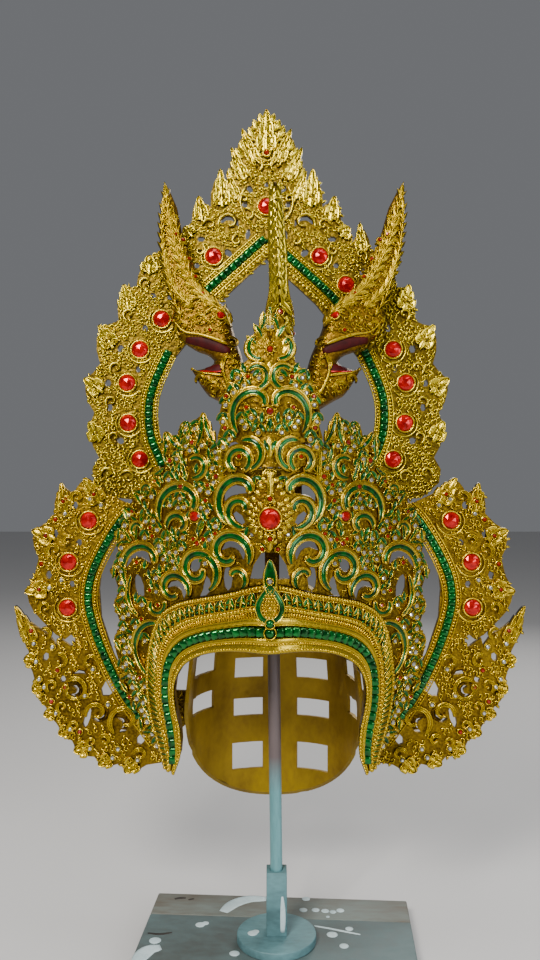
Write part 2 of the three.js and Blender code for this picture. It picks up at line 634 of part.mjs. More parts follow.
const flip = (rows, side) => rows.map(([x, z]) => [side * x, z]);
const HALO_ROOF = [[4, 715], [31, 691], [63, 662], [82, 640]];
const HALO_SIDE = [[101, 600], [113, 573], [119, 553], [120, 532], [117, 512], [107, 488]];
const WING_CHAIN_HIGH = [[140, 438], [152, 423], [164, 405], [174, 382], [179, 360], [178, 345]];
const WING_CHAIN_LOW = [[176, 333], [170, 314], [162, 294], [152, 273], [138, 248], [124, 230], [112, 213]];
const BROW_TOP = [0.06, 0.46];
const BROW_LEG = [0.49, 0.9];

function chains(prefix, rows, y) {
  return [-1, 1].map((side) => named(`${prefix}_${side < 0 ? 'left' : 'right'}`,
    chainPlate(flip(rows, side), CHAIN.thick, y - GAP), GREEN));
}

// The brow's stones lie along the middle of the band's channel.
function browChains(prefix, [from, to]) {
  const [, , floorFrom, floorTo] = BAND_PROFILE;
  const middle = [0, 1].map((k) => (floorFrom[k] + floorTo[k]) / 2);
  const rows = Array.from({ length: 9 }, (_, i) => {
    const p = bandPoint(THREE.MathUtils.lerp(from, to, i / 8), ...middle);
    return [p.x, p.y];
  });
  return [-1, 1].map((side) => {
    const flat = chainPlate(flip(rows, side), CHAIN.thick, -BAND_FLOOR - GAP);
    return named(`${prefix}_${side < 0 ? 'left' : 'right'}`, bend(flat), GREEN);
  });
}

// The halo with its stones, set a little to one side of the wall's middle.
function haloRing() {
  const ring = group('halo_ring',
    halo(), named('halo_stone_top', button(STONE.radius, STONE.rise, 0, HALO.frontY, 750), RED),
    ...pairs('halo_stone', HALO_STONES, HALO.frontY, STONE.radius),
    ...chains('halo_chain_roof', HALO_ROOF, HALO.frontY),
    ...chains('halo_chain_side', HALO_SIDE, HALO.frontY));
  ring.position.x = HALO_X;
  return ring;
}

// ---- stand ----
function leanWith(geometry, lean, fromZ) {
  const at = geometry.attributes.position;
  for (let i = 0; i < at.count; i += 1) {
    at.setX(i, at.getX(i) + lean * (at.getZ(i) - fromZ));
  }
  return geometry;
}

function rod(radius, low, high, sides) {
  const geometry = new THREE.CylinderGeometry(radius, radius, high - low, sides);
  geometry.rotateX(Math.PI / 2);
  geometry.translate(STAND_X, 0, (high + low) / 2);
  return geometry;
}

function stand() {
  const discLow = BOARD.thick + GAP;
  const socketLow = discLow + DISC.thick + GAP;
  const socketTop = socketLow + SOCKET.height;
  const boreLow = socketTop - SOCKET.bore;
  const postTop = CAP.crown - CAP.wall - GAP - 0.6;
  const post = leanWith(rod(POST.radius, boreLow + GAP, postTop, 16), POST.lean, boreLow);
  const bore = leanWith(rod(POST.radius + GAP, boreLow, socketTop + 4, 16), POST.lean, boreLow);
  const block = slab(SOCKET.side, SOCKET.side, SOCKET.height, STAND_X, 0, socketLow + SOCKET.height / 2);
  const socket = geometryOf(solidOf(block).subtract(solidOf(bore)));
  const disc = rod(DISC.radius, discLow, discLow + DISC.thick, 36);
  const frontY = BOARD.midY - BOARD.depth / 2;
  const backY = BOARD.midY + BOARD.depth / 2;
  const plank = (from, to) => {
    const box = slab(BOARD.width, to - from, BOARD.thick, STAND_X, (from + to) / 2, BOARD.thick / 2);
    box.rotateZ(THREE.MathUtils.degToRad(BOARD.turn));
    return box;
  };
  return group('stand',
    named('post', post, RUST),
    named('socket', socket, PAINT),
    named('disc', disc, PAINT),
    named('board_front', plank(frontY, BOARD.jointY - GAP), PAINT),
    named('board_back', plank(BOARD.jointY, backY), PAINT));
}

// ---- assembly ----
const capCutter = capDome(GAP);
const browGem = button(5, 4, 0, BROW_Y - BAND_FLOOR, 339);
const medStone = button(9, STONE.rise, 0, BROW_Y - 4 - GAP, 438);

const part = group('thai_headdress_and_stand',
  skullCap(),
  group('tiara',
    tiaraWall(capCutter), browBand(), spire(), medallion(), browDrop(),
    named('medallion_stone', medStone, RED), named('brow_gem', browGem, GREEN),
    ...browChains('brow_chain_top', BROW_TOP), ...browChains('brow_chain_leg', BROW_LEG)),
  group('wings',
    wing('wing_left', -1, capCutter), wing('wing_right', 1, capCutter),
    ...pairs('wing_stone', WING_STONES, WING.frontY, 8),
    ...chains('wing_chain_high', WING_CHAIN_HIGH, WING.frontY),
    ...chains('wing_chain_low', WING_CHAIN_LOW, WING.frontY)),
  haloRing(),
  group('serpents',
    neckColumn(capCutter), sideSerpent('naga_left', -1), sideSerpent('naga_right', 1), frontSerpent()),
  stand());

export default part;
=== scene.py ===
"""Thai dance headdress on its stand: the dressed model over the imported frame.

Sizes are in millimetres in the tables and classes and become metres where a mesh is made.
Ornament is laid out flat on X and Z and lifted off the face that carries it, toward -Y.
"""
import logging
import math
import random
from contextlib import contextmanager
from dataclasses import dataclass
from enum import Enum
from typing import Callable, Iterator, Sequence

import bmesh
import bpy
import numpy as np
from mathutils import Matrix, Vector
from mathutils.bvhtree import BVHTree
from mathutils.geometry import delaunay_2d_cdt


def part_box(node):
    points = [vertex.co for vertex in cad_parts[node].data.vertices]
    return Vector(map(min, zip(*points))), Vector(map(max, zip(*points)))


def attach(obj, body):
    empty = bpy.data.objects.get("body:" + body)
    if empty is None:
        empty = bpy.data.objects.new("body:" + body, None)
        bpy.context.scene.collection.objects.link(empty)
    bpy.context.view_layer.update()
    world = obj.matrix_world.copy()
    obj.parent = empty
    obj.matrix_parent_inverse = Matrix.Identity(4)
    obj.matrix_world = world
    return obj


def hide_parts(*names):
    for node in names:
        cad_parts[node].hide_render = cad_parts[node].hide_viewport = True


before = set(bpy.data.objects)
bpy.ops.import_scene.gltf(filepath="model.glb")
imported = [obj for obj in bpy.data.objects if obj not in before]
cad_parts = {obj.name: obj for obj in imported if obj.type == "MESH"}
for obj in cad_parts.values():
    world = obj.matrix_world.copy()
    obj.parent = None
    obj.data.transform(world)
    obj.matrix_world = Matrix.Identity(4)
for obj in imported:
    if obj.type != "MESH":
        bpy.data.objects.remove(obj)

LOG = logging.getLogger("headdress")
MM = 0.001
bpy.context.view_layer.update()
Point = tuple[float, float]
Disc = tuple[float, float, float]
Spot = tuple[float, float, float, float]
Rgb = tuple[float, float, float]
Place = Callable[[np.ndarray], np.ndarray]
Socket = bpy.types.NodeSocket


# ---------------------------------------------------------------- finishes
class Slot(Enum):
    """The record's material slots."""

    GOLD = "gold_relief"
    HALO = "halo_gold"
    CAP = "cap_ochre"
    RED = "red_stone"
    GREEN = "green_stone"
    PAINT = "stand_paint"
    POST = "post_metal"


class Graph:
    """A node tree to which nodes are added together with their inputs."""

    def __init__(self, tree: bpy.types.NodeTree) -> None:
        """Takes the tree to fill."""
        self.tree = tree

    def put(self, node: bpy.types.Node, key: int | str, value: object) -> None:
        """Links a socket to one of a node's inputs, or sets the input to a value.

        Args:
            node: the node.
            key: the input's name or place.
            value: the socket or the value.
        """
        if isinstance(value, Socket):
            self.tree.links.new(value, node.inputs[key])
        else:
            node.inputs[key].default_value = value

    def add(self, kind: str, inputs: dict | None = None, out: int | str = 0, **settings: object) -> Socket:
        """Adds a node.

        Args:
            kind: its type.
            inputs: the socket or value for each input that isn't left alone.
            out: the output that is wanted.
            settings: its other fields.

        Returns:
            The wanted output.
        """
        node = self.tree.nodes.new(kind)
        for key, value in settings.items():
            setattr(node, key, value)
        for key, value in (inputs or {}).items():
            self.put(node, key, value)
        return node.outputs[out]


class Shader(Graph):
    """A new material with its parts within easy reach."""

    def __init__(self, name: str) -> None:
        """Starts a Principled material.

        Args:
            name: the material's name.
        """
        self.material = bpy.data.materials.new(name)
        self.material.use_nodes = True
        super().__init__(self.material.node_tree)
        self.surface = self.tree.nodes["Principled BSDF"]
        self.place = self.add("ShaderNodeTexCoord", out="Object")

    def set(self, **values: object) -> None:
        """Sets or links inputs of the surface, with underscores for the spaces in their names."""
        for name, value in values.items():
            self.put(self.surface, name.replace("_", " "), value)

    def noise(self, scale: float, detail: float = 3.0, stretch: Rgb = (1, 1, 1)) -> Socket:
        """A noise in object space with so many repeats a metre, stretched along each axis."""
        spread = self.add("ShaderNodeMapping", {"Scale": stretch, "Vector": self.place})
        return self.add("ShaderNodeTexNoise", {"Scale": scale, "Detail": detail, "Vector": spread}, "Fac")

    def ramp(self, value: Socket, *stops: tuple[float, Rgb]) -> Socket:
        """Maps a factor to colours.

        Args:
            value: the factor.
            stops: position and colour of each stop, lowest first.

        Returns:
            The colour.
        """
        color = self.add("ShaderNodeValToRGB", {"Fac": value})
        line = color.node.color_ramp.elements
        while len(line) < len(stops):
            line.new(0.5)
        for stop, (at, rgb) in zip(line, stops):
            stop.position = at
            stop.color = (*rgb, 1)
        return color

    def blend(self, a: Socket, b: Socket, share: float) -> Socket:
        """Adds a share of b to a."""
        return self.add("ShaderNodeMath", {0: b, 1: share, 2: a}, operation="MULTIPLY_ADD")

    def span(self, value: Socket, low: float, high: float) -> Socket:
        """Maps a 0 to 1 factor onto low to high."""
        return self.add("ShaderNodeMapRange", {"To Min": low, "To Max": high, "Value": value}, "Result")

    def bump(self, height: Socket, depth: float, strength: float) -> None:
        """Raises the surface by a factor times a depth in metres."""
        bump = self.add("ShaderNodeBump", {"Distance": depth, "Strength": strength, "Height": height})
        self.set(Normal=bump)


@dataclass(frozen=True)
class Gilding:
    """Gold over cast relief, with painted shade that turns it brown where it lies deep and a painted
    highlight that turns it pale on the ridges.

    Args:
        name: the material's name.
        deep: colour in the hollows, a painted shade.
        body: colour between.
        ridge: colour on the ridges, a painted highlight.
        carved: the mesh says how high each point lies; if not, a fine cast texture does.
        rough: least and greatest roughness.
        grain: grains a metre.
    """

    name: str
    deep: Rgb
    body: Rgb
    ridge: Rgb
    carved: bool = True
    rough: Point = (0.14, 0.36)
    grain: float = 420.0

    def make(self) -> bpy.types.Material:
        """Builds the material; carved faces read their depth from the crest attribute, which paints shade
        into the hollows and a highlight onto the ridges.

        Returns:
            The material.
        """
        s = Shader(self.name)
        grain, cloud = s.noise(self.grain, 4.0), s.noise(38.0)
        depth = 0.0005
        if self.carved:
            # painted shade and highlight: the crest darkens the hollows and lightens the ridges, with random
            # grain and cloud over it
            crest = s.add("ShaderNodeAttribute", out="Fac", attribute_name="crest")
            shade_and_grain = s.blend(s.blend(s.span(crest, 0.0, 0.62), grain, 0.25), cloud, 0.15)
            stops = (0.22, self.deep), (0.56, self.body), (0.78, self.body), (0.96, self.ridge)
        else:
            # plain grounds: random tone from grain and cloud over their own colours, which are darkened as
            # painted shade
            shade_and_grain = s.blend(s.span(grain, 0.0, 0.6), cloud, 0.4)
            stops = (0.3, self.deep), (0.6, self.body), (0.75, self.ridge)
            grain, depth = s.blend(s.noise(260.0, 1.0), grain, 0.4), 0.0015
        s.set(Metallic=0.92, Specular_IOR_Level=0.5, Base_Color=s.ramp(shade_and_grain, *stops),
              Roughness=s.span(grain, *self.rough))
        s.bump(grain, depth, 0.65)
        return s.material


@dataclass(frozen=True)
class Glaze:
    """Glossy coloured glass or enamel, with foil behind it where it is set as a stone.

    Args:
        name: the material's name.
        color: its colour.
        foil: how much of the light comes back from the foil.
        rough: roughness.
        shade: how dark its cloudy patches are, as a share of the colour.
        coat: strength of the gloss over it.
    """

    name: str
    color: Rgb
    foil: float = 0.5
    rough: float = 0.08
    shade: float = 0.35
    coat: float = 0.4

    def make(self) -> bpy.types.Material:
        """Builds the material, cloudy between its colour and a darker shade of it.

        Returns:
            The material.
        """
        s = Shader(self.name)
        dark = tuple(c * self.shade for c in self.color)
        s.set(Metallic=self.foil, Roughness=self.rough, Coat_Weight=self.coat, Coat_Roughness=0.05, IOR=1.5,
              Specular_IOR_Level=0.2 + 0.3 * (self.coat > 0),
              Base_Color=s.ramp(s.noise(160.0, 2.0), (0.3, dark), (0.7, self.color)))
        return s.material


@dataclass(frozen=True)
class Coat:
    """A paint or dull metal with cloudy patches and streaks.

    Args:
        name: the material's name.
        low: colour of the darker patches.
        high: colour of the lighter ones.
        rough: least and greatest roughness.
        streak: how the patches are stretched along each axis.
        scale: patches a metre.
        metal: how metallic it is.
        fade: two heights in metres between which it turns into another colour, and that colour.
    """

    name: str
    low: Rgb
    high: Rgb
    rough: Point = (0.45, 0.75)
    streak: Rgb = (1, 1, 1)
    scale: float = 45.0
    metal: float = 0.0
    fade: tuple[float, float, Rgb] | None = None

    def make(self) -> bpy.types.Material:
        """Builds the material.

        Returns:
            The material.
        """
        s = Shader(self.name)
        cloud, fine = s.noise(self.scale, 5.0, self.streak), s.noise(self.scale * 9, 3.0, self.streak)
        tone = s.ramp(s.blend(cloud, fine, 0.35), (0.45, self.low), (0.85, self.high))
        if self.fade:
            low, high, over = self.fade
            height = s.add("ShaderNodeSeparateXYZ", {0: s.place}, "Z")
            share = s.add("ShaderNodeMapRange", {"From Min": low, "From Max": high, "Value": height},
                          "Result")
            tone = s.add("ShaderNodeMix", {0: share, 6: tone, 7: (*over, 1)}, 2, data_type="RGBA")
        s.set(Metallic=self.metal, Base_Color=tone, Roughness=s.span(fine, *self.rough))
        s.bump(fine, 0.0004, 0.5)
        return s.material


class Finish(Enum):
    """Every finish used on the headdress and its stand."""

    # GILT, HALO_GILT and NAGA_GILT: near-black painted shade in the hollows and pale painted highlight on the
    # ridges, set by the crest
    GILT = Gilding("gilded_relief", (0.03, 0.012, 0.001), (0.56, 0.38, 0.015), (0.97, 0.79, 0.14))
    # GROUND, HALO_GROUND and WALL_GROUND are darker and browner than the relief gold: painted shade on the
    # plates that lie back between the ornament
    GROUND = Gilding("gilded_ground_shaded", (0.03, 0.011, 0.001), (0.24, 0.13, 0.006), (0.42, 0.25, 0.016), False,
                     (0.25, 0.5))
    HALO_GILT = Gilding("halo_relief", (0.05, 0.026, 0.001), (0.6, 0.45, 0.021), (0.9, 0.78, 0.14))
    HALO_GROUND = Gilding("halo_ground_shaded", (0.03, 0.016, 0.001), (0.18, 0.118, 0.006), (0.36, 0.26, 0.016),
                          False, (0.25, 0.5))
    WALL_GROUND = Gilding("wall_ground_gilt_shaded", (0.04, 0.018, 0.001), (0.27, 0.165, 0.006), (0.46, 0.31, 0.02),
                          False, (0.28, 0.5))
    NAGA_GILT = Gilding("naga_relief", (0.02, 0.008, 0.001), (0.38, 0.25, 0.006), (0.78, 0.6, 0.04), True,
                        (0.2, 0.42))
    ENAMEL = Glaze("green_enamel", (0.0, 0.13, 0.008), 0.45, 0.14, 0.2, 0.2)
    EMERALD = Glaze("green_stone_glass", (0.0, 0.17, 0.02), 0.65, 0.1, 0.2, 0.25)
    RUBY = Glaze("red_stone_glass", (0.68, 0.002, 0.001), 0.5, 0.14, 0.35, 0.12)
    GARNET = Glaze("garnet_glass", (0.34, 0.012, 0.003), 0.3, 0.1, 0.5)
    CLEAR = Glaze("clear_stone_foil", (0.8, 0.84, 0.86), 0.8, 0.06, 0.55)
    MOUTH = Glaze("mouth_lacquer", (0.06, 0.001, 0.001), 0.0, 0.6, 0.5, 0.0)
    CAP = Coat("cap_ochre_paint", (0.2, 0.11, 0.001), (0.42, 0.265, 0.003), (0.4, 0.6), (1, 1, 0.7), 22.0,
               0.55)
    PAINT = Coat("grey_blue_paint", (0.06, 0.13, 0.14), (0.135, 0.29, 0.315), (0.4, 0.7), (0.5, 1, 1), 30.0)
    BOARD = Coat("worn_board_paint", (0.07, 0.08, 0.073), (0.11, 0.165, 0.165), (0.45, 0.75), (0.7, 1, 1),
                 16.0)
    PLANK = Coat("bare_plank", (0.09, 0.052, 0.025), (0.17, 0.2, 0.18), (0.5, 0.8), (0.3, 1, 1), 20.0)
    SPLASH = Coat("pale_paint_splashes", (0.42, 0.55, 0.57), (0.62, 0.76, 0.78), (0.3, 0.5))
    KNOT = Coat("dark_knots", (0.01, 0.008, 0.006), (0.03, 0.022, 0.016))
    POST = Coat("post_grey_metal", (0.1, 0.26, 0.28), (0.185, 0.43, 0.46), (0.35, 0.55), (1, 1, 0.2), 45.0,
                0.25, (0.165, 0.2, (0.13, 0.1, 0.1)))

    @property
    def slot(self) -> Slot:
        """The record's slot for rows of small things in this finish."""
        return {Finish.HALO_GILT: Slot.HALO, Finish.EMERALD: Slot.GREEN}.get(self, Slot.GOLD)

    @property
    def cut(self) -> bool:
        """True for cut stones, whose facets are shaded flat."""
        return self in (Finish.GARNET, Finish.CLEAR, Finish.RUBY)


_MADE: dict[Finish, bpy.types.Material] = {}


def material(finish: Finish) -> bpy.types.Material:
    """The finish's material, built the first time it is asked for.

    Args:
        finish: the finish.

    Returns:
        Its material.
    """
    if finish not in _MADE:
        _MADE[finish] = finish.value.make()
    return _MADE[finish]


# ---------------------------------------------------------------- faces that carry ornament
def smoothstep(value: np.ndarray | float, low: float, high: float) -> np.ndarray | float:
    """Smooth 0 to 1 step of value between low and high."""
    t = np.clip((value - low) / (high - low), 0, 1)
    return t * t * (3 - 2 * t)


@dataclass(frozen=True)
class Face:
    """A front that ornament lies on: level, or bent back from the middle.

    Args:
        front: Y of the bare face at the middle.
        slope: how fast it goes back away from the middle.
        flat_slope: the slope higher up, where it may stand flatter.
        flat_from: heights between which the slope changes.
        shift: X of the face's middle.
        nose: radius of the bend at the middle.
    """

    front: float
    slope: float = 0.0
    flat_slope: float | None = None
    flat_from: Point = (490.0, 545.0)
    shift: float = 0.0
    nose: float = 22.0

    def slope_at(self, z: np.ndarray | float) -> np.ndarray | float:
        """The slope at a height."""
        top = self.slope if self.flat_slope is None else self.flat_slope
        return self.slope + (top - self.slope) * smoothstep(z, *self.flat_from)

    def back(self, x: np.ndarray | float) -> np.ndarray | float:
        """How far back a slope of 1 has gone at x."""
        return np.hypot(x, self.nose) - self.nose

    def y(self, x: np.ndarray | float, z: np.ndarray | float) -> np.ndarray | float:
        """Y of the bare face at a place."""
        return self.front + self.slope_at(z) * self.back(x)


# ---------------------------------------------------------------- relief
@dataclass(frozen=True)
class Section:
    """A moulding's cross-section.

    Args:
        across: shares of the half width from -1 to 1.
        rise: share of the rise at each.
        band: the middle stretch from -band to band takes the second finish.
    """

    across: tuple[float, ...]
    rise: tuple[float, ...]
    band: float = 0.0


class Moulding(Enum):
    """The sections that the ornament is swept from."""

    ROUND = Section((-1, -0.75, -0.35, 0.35, 0.75, 1), (0, 0.62, 0.95, 0.95, 0.62, 0))
    RIDGE = Section((-1, 0, 1), (0, 1, 0))
    LEAFLET = Section((-1, -0.55, 0, 0.55, 1), (0.1, 0.5, 1, 0.5, 0.1))
    CELL = Section((-1, -0.93, -0.82, 0.82, 0.93, 1), (0, 1, 0.65, 0.65, 1, 0), 0.8)
    FLUTED = Section((-1, -0.8, -0.55, -0.25, 0, 0.25, 0.55, 0.8, 1),
                     (0, 0.8, 0.75, 0.35, 1, 0.35, 0.75, 0.8, 0))
    LEAF = Section((-1, -0.75, -0.4, -0.12, 0.12, 0.4, 0.75, 1), (0.1, 0.62, 0.34, 1, 1, 0.34, 0.62, 0.1))
    CLOISON = Section((-1, -0.94, -0.8, -0.74, -0.3, 0.3, 0.74, 0.8, 0.94, 1),
                      (0, 1, 1, 0.5, 0.8, 0.8, 0.5, 1, 1, 0), 0.76)
    PLATE = Section((-1, -0.93, -0.8, -0.64, -0.16, 0, 0.16, 0.64, 0.8, 0.93, 1),
                    (0, 0.85, 1, 0.5, 0.4, 0.85, 0.4, 0.5, 1, 0.85, 0))
    STROKE = Section((-1, -0.86, -0.6, 0, 0.6, 0.86, 1), (0, 0.5, 0.85, 1, 0.85, 0.5, 0), 0.87)


def between(t: np.ndarray | float, a: np.ndarray, b: np.ndarray, c: np.ndarray, d: np.ndarray) -> np.ndarray:
    """The smooth curve from b to c, at t from 0 to 1, that comes from a and goes on to d."""
    return 0.5 * (2 * b + (c - a) * t + (2 * a - 5 * b + 4 * c - d) * t**2 + (3 * b - a - 3 * c + d) * t**3)


def resample(path: np.ndarray, count: int) -> np.ndarray:
    """A path's points again, evenly spaced.

    Args:
        path: the points, one a row.
        count: how many to return.

    Returns:
        The even points.
    """
    run = np.r_[0, np.cumsum(np.linalg.norm(np.diff(path, axis=0), axis=1))]
    at = np.linspace(0, run[-1], count)
    return np.stack([np.interp(at, run, column) for column in path.T], 1)


def smooth(points: Sequence[Point], count: int) -> np.ndarray:
    """A smooth path through a few points.

    Args:
        points: the points it passes through.
        count: how many even points to return.

    Returns:
        The path's points.
    """
    p = np.array(points, float)
    p = np.vstack([2 * p[0] - p[1], p, 2 * p[-1] - p[-2]])
    t = np.linspace(0, 1, 12, endpoint=False)[:, None]
    return resample(np.vstack([*(between(t, *q) for q in zip(p, p[1:], p[2:], p[3:])), p[-2][None]]), count)


def spiral(x: float, z: float, start: float, end: float, from_deg: float, turn: float,
           count: int = 20) -> np.ndarray:
    """A scroll's line.

    Args:
        x: centre.
        z: centre.
        start: radius where it starts.
        end: radius where it ends.
        from_deg: bearing of its start from the centre.
        turn: degrees that it turns through, positive from +X towards +Z.
        count: how many points.

    Returns:
        The line's points.
    """
    t = np.linspace(0, 1, count)
    angle, radius = np.radians(from_deg + turn * t), start + (end - start) * t
    return np.stack([x + radius * np.cos(angle), z + radius * np.sin(angle)], 1)


def bowed(a: Point, b: Point, bow: float, count: int) -> np.ndarray:
    """A line that swells sideways.

    Args:
        a: its start.
        b: its end.
        bow: how far it swells to its left, as a share of its length.
        count: how many points.

    Returns:
        The line's points.
    """
    start, end = np.array(a, float), np.array(b, float)
    span = end - start
    middle = (start + end) / 2 + np.array([-span[1], span[0]]) * bow
    t = np.linspace(0, 1, count)[:, None]
    return (1 - t) ** 2 * start + 2 * t * (1 - t) * middle + t**2 * end


def swell(low: float, high: float, count: int, power: float = 1.0) -> np.ndarray:
    """Widths along a stroke, which swell as a sine does between two shares of its half turn."""
    return np.sin(np.pi * np.linspace(low, high, count)) ** power


def flipped(path: np.ndarray, side: int) -> np.ndarray:
    """The path on the given side of the middle: 1 keeps it, -1 mirrors it."""
    return path * np.array([side, 1.0])


def closed(half: np.ndarray) -> np.ndarray:
    """The whole outline from its right half, which runs from the top of the middle to its foot."""
    return np.vstack([half, flipped(half, -1)[::-1][1:]])


def sideways(path: np.ndarray) -> tuple[np.ndarray, np.ndarray]:
    """The unit steps along a path and to its left.

    Args:
        path: the path's points.

    Returns:
        The steps along it and the steps to its left, point by point.
    """
    way = np.gradient(path, axis=0)
    way /= np.maximum(np.linalg.norm(way, axis=1, keepdims=True), 1e-9)
    return way, np.stack([-way[:, 1], way[:, 0]], 1)


def tube(rows: int, sides: int) -> tuple[np.ndarray, list[list[int]]]:
    """Faces of a closed tube of points, row by row.

    Args:
        rows: rows along it.
        sides: points round it.

    Returns:
        The quads, and the two end faces.
    """
    i, j = np.meshgrid(np.arange(rows - 1), np.arange(sides), indexing="ij")
    near = (j + 1) % sides
    quads = np.stack([i * sides + j, (i + 1) * sides + j, (i + 1) * sides + near, i * sides + near], -1)
    return quads.reshape(-1, 4), [list(range(sides)), [(rows - 1) * sides + q for q in range(sides)][::-1]]


def link_new(name: str, data: bpy.types.ID) -> bpy.types.Object:
    """Puts a new object into the scene.

    Args:
        name: its name.
        data: its mesh, light or camera.

    Returns:
        The object.
    """
    made = bpy.data.objects.new(name, data)
    bpy.context.scene.collection.objects.link(made)
    return made


def lifted(face: Face, x: np.ndarray, z: np.ndarray, lift: np.ndarray | float) -> np.ndarray:
    """Points in front of a face.

    Args:
        face: the face.
        x: where, from the face's middle.
        z: how high.
        lift: how far in front.

    Returns:
        The points, one a row.
    """
    return np.stack([x + face.shift, face.y(x, z) - lift, z], 1)


def spread(mesh: bpy.types.Mesh, name: str, values: Sequence[float]) -> None:
    """Gives each point of a mesh its value of a named attribute."""
    mesh.attributes.new(name, "FLOAT", "POINT").data.foreach_set("value", values)


class Relief:
    """Ornament gathered from swept mouldings, leaves, stones and beads into one mesh."""

    def __init__(self, face: Face, gold: Finish) -> None:
        """Starts an empty relief.

        Args:
            face: the face it lies on.
            gold: the finish of all that isn't given another one.
        """
        self.face = face
        self.finishes = [gold]
        self.points: list[np.ndarray] = []
        self.crests: list[np.ndarray] = []
        self.quads: list[np.ndarray] = []
        self.looks: list[np.ndarray] = []
        self.fans: list[list[int]] = []
        self.fan_looks: list[int] = []
        self.total = 0

    def _look(self, finish: Finish | None) -> int:
        """Finds a finish in the material list, and adds it when it first comes up.

        Args:
            finish: the finish, or None for the gold.

        Returns:
            Its place in the list.
        """
        if finish and finish not in self.finishes:
            self.finishes.append(finish)
        return self.finishes.index(finish) if finish else 0

    def _add(self, points: np.ndarray, crest: np.ndarray, quads: np.ndarray, looks: np.ndarray,
             fans: Sequence[list[int]], fan_look: int) -> None:
        """Adds a body.

        Args:
            points: x, z and lift of each.
            crest: how high each lies in the relief.
            quads: four-sided faces, numbered from the body's first point.
            looks: the finish of each.
            fans: other faces.
            fan_look: the finish of those.
        """
        self.points.append(points)
        self.crests.append(crest)
        self.quads.append(quads + self.total)
        self.looks.append(looks)
        self.fans += [[i + self.total for i in fan] for fan in fans]
        self.fan_looks += [fan_look] * len(fans)
        self.total += len(points)

    def sweep(self, path: np.ndarray, half: np.ndarray | float, rise: np.ndarray | float,
              moulding: Moulding = Moulding.ROUND, lift: float = 0.0, finish: Finish | None = None,
              band: Finish | None = None, sunk: float = 1.2, lean: float = 0.0) -> None:
        """Sweeps a moulding along a path as one closed body.

        Args:
            path: the path's points.
            half: half width, for each point or for all.
            rise: height over the face, for each point or for all.
            moulding: the section.
            lift: how far the whole is lifted off the face.
            finish: finish of the sides.
            band: finish of the section's middle band.
            sunk: how deep its closed back lies below its lift.
            lean: how far its edges run ahead of its middle, as a share of the half width.
        """
        n, section = len(path), moulding.value
        u, h = np.array(section.across), np.array(section.rise)
        half, rise = (np.broadcast_to(v, (n,)).astype(float) for v in (half, rise))
        way, left = sideways(path)
        top = path[:, None] + left[:, None] * (half[:, None] * u)[..., None]
        top = top + way[:, None] * (half[:, None] * np.abs(u) * lean)[..., None]
        block = np.dstack([top, lift + rise[:, None] * h])
        back = np.concatenate([top[:, [-1, 0]], np.full((n, 2, 1), lift - sunk)], 2)
        m = len(u) + 2
        quads, ends = tube(n, m)
        middle = np.zeros(m, bool)
        if band and section.band:
            middle[: m - 3] = np.abs((u[:-1] + u[1:]) / 2) < section.band
        looks = np.where(np.tile(middle, n - 1), self._look(band), self._look(finish))
        crest = np.tile(np.r_[h, 0, 0], n)
        points = np.concatenate([block, back], 1).reshape(-1, 3)
        self._add(points, crest, quads, looks, ends, self._look(finish))

    def scroll(self, line: np.ndarray, half: float, rise: float, moulding: Moulding = Moulding.FLUTED,
               tip: float = 0.45, boss: float = 0.0, lift: float = 0.0) -> None:
        """A scroll that narrows toward its inner end, with a round boss there if asked.

        Args:
            line: the scroll's line, from its outer end.
            half: half width at the outer end.
            rise: height.
            moulding: the section.
            tip: share of the half width left at the inner end.
            boss: radius of the boss.
            lift: how far it is lifted off the face.
        """
        t = np.linspace(0, 1, len(line))
        self.sweep(line, half * (1 - (1 - tip) * t) * np.minimum(1, 0.35 + t * 6), rise, moulding, lift)
        if boss:
            self.bead(line[-1], boss, rise * 1.15, lift, 5 if moulding is Moulding.RIDGE else 8)

    def leaf(self, base: Point, tip: Point, width: float, rise: float, bow: float = 0.0, lobes: int = 1,
             lift: float = 0.0, sunk: float = 1.2) -> None:
        """A flame leaf with a midrib and lobes that point to its tip; small ones are plainer.

        Args:
            base: where it grows from.
            tip: its point.
            width: its width at the widest.
            rise: height of its midrib.
            bow: how far its midrib bends, as a share of its length.
            lobes: how many lobes each side has.
            lift: how far it is lifted off the face.
            sunk: how deep its back lies.
        """
        small = width < 4.5
        steps = 4 if small else max(6, lobes * 4 + 2)
        t = np.linspace(0, 1, steps)
        body = np.sin(np.pi * np.clip(t * 0.86 + 0.14, 0, 1) ** 1.25) ** 0.8
        notch = 1.0 if lobes < 2 else 0.66 + 0.34 * ((t * lobes) % 1.0) ** 0.7
        height = rise * (0.35 + 0.65 * np.sin(np.pi * (0.15 + 0.8 * t)))
        self.sweep(bowed(base, tip, bow, steps), width / 2 * np.maximum(body * notch, 0.02), height,
                   Moulding.LEAFLET if small else Moulding.LEAF, lift, sunk=sunk)

    def bead(self, at: Sequence[float], radius: float, rise: float, lift: float = 0.0,
             sides: int = 8) -> None:
        """A domed bead; one of few sides is plainer.

        Args:
            at: its centre.
            radius: its radius.
            rise: its height.
            lift: how far its foot is lifted off the face.
            sides: faces round it.
        """
        foot = 1.0, -0.8 / rise
        rings, crest = (foot, (1.0, 0.25), (0.8, 0.72), (0.4, 0.96)), (0.1, 0.35, 0.8, 1, 1)
        if sides < 7:
            rings, crest = (foot, (0.85, 0.65)), (0.1, 0.8, 1)
        self._dome(at, radius, rise, rings, None, lift, sides, crest)

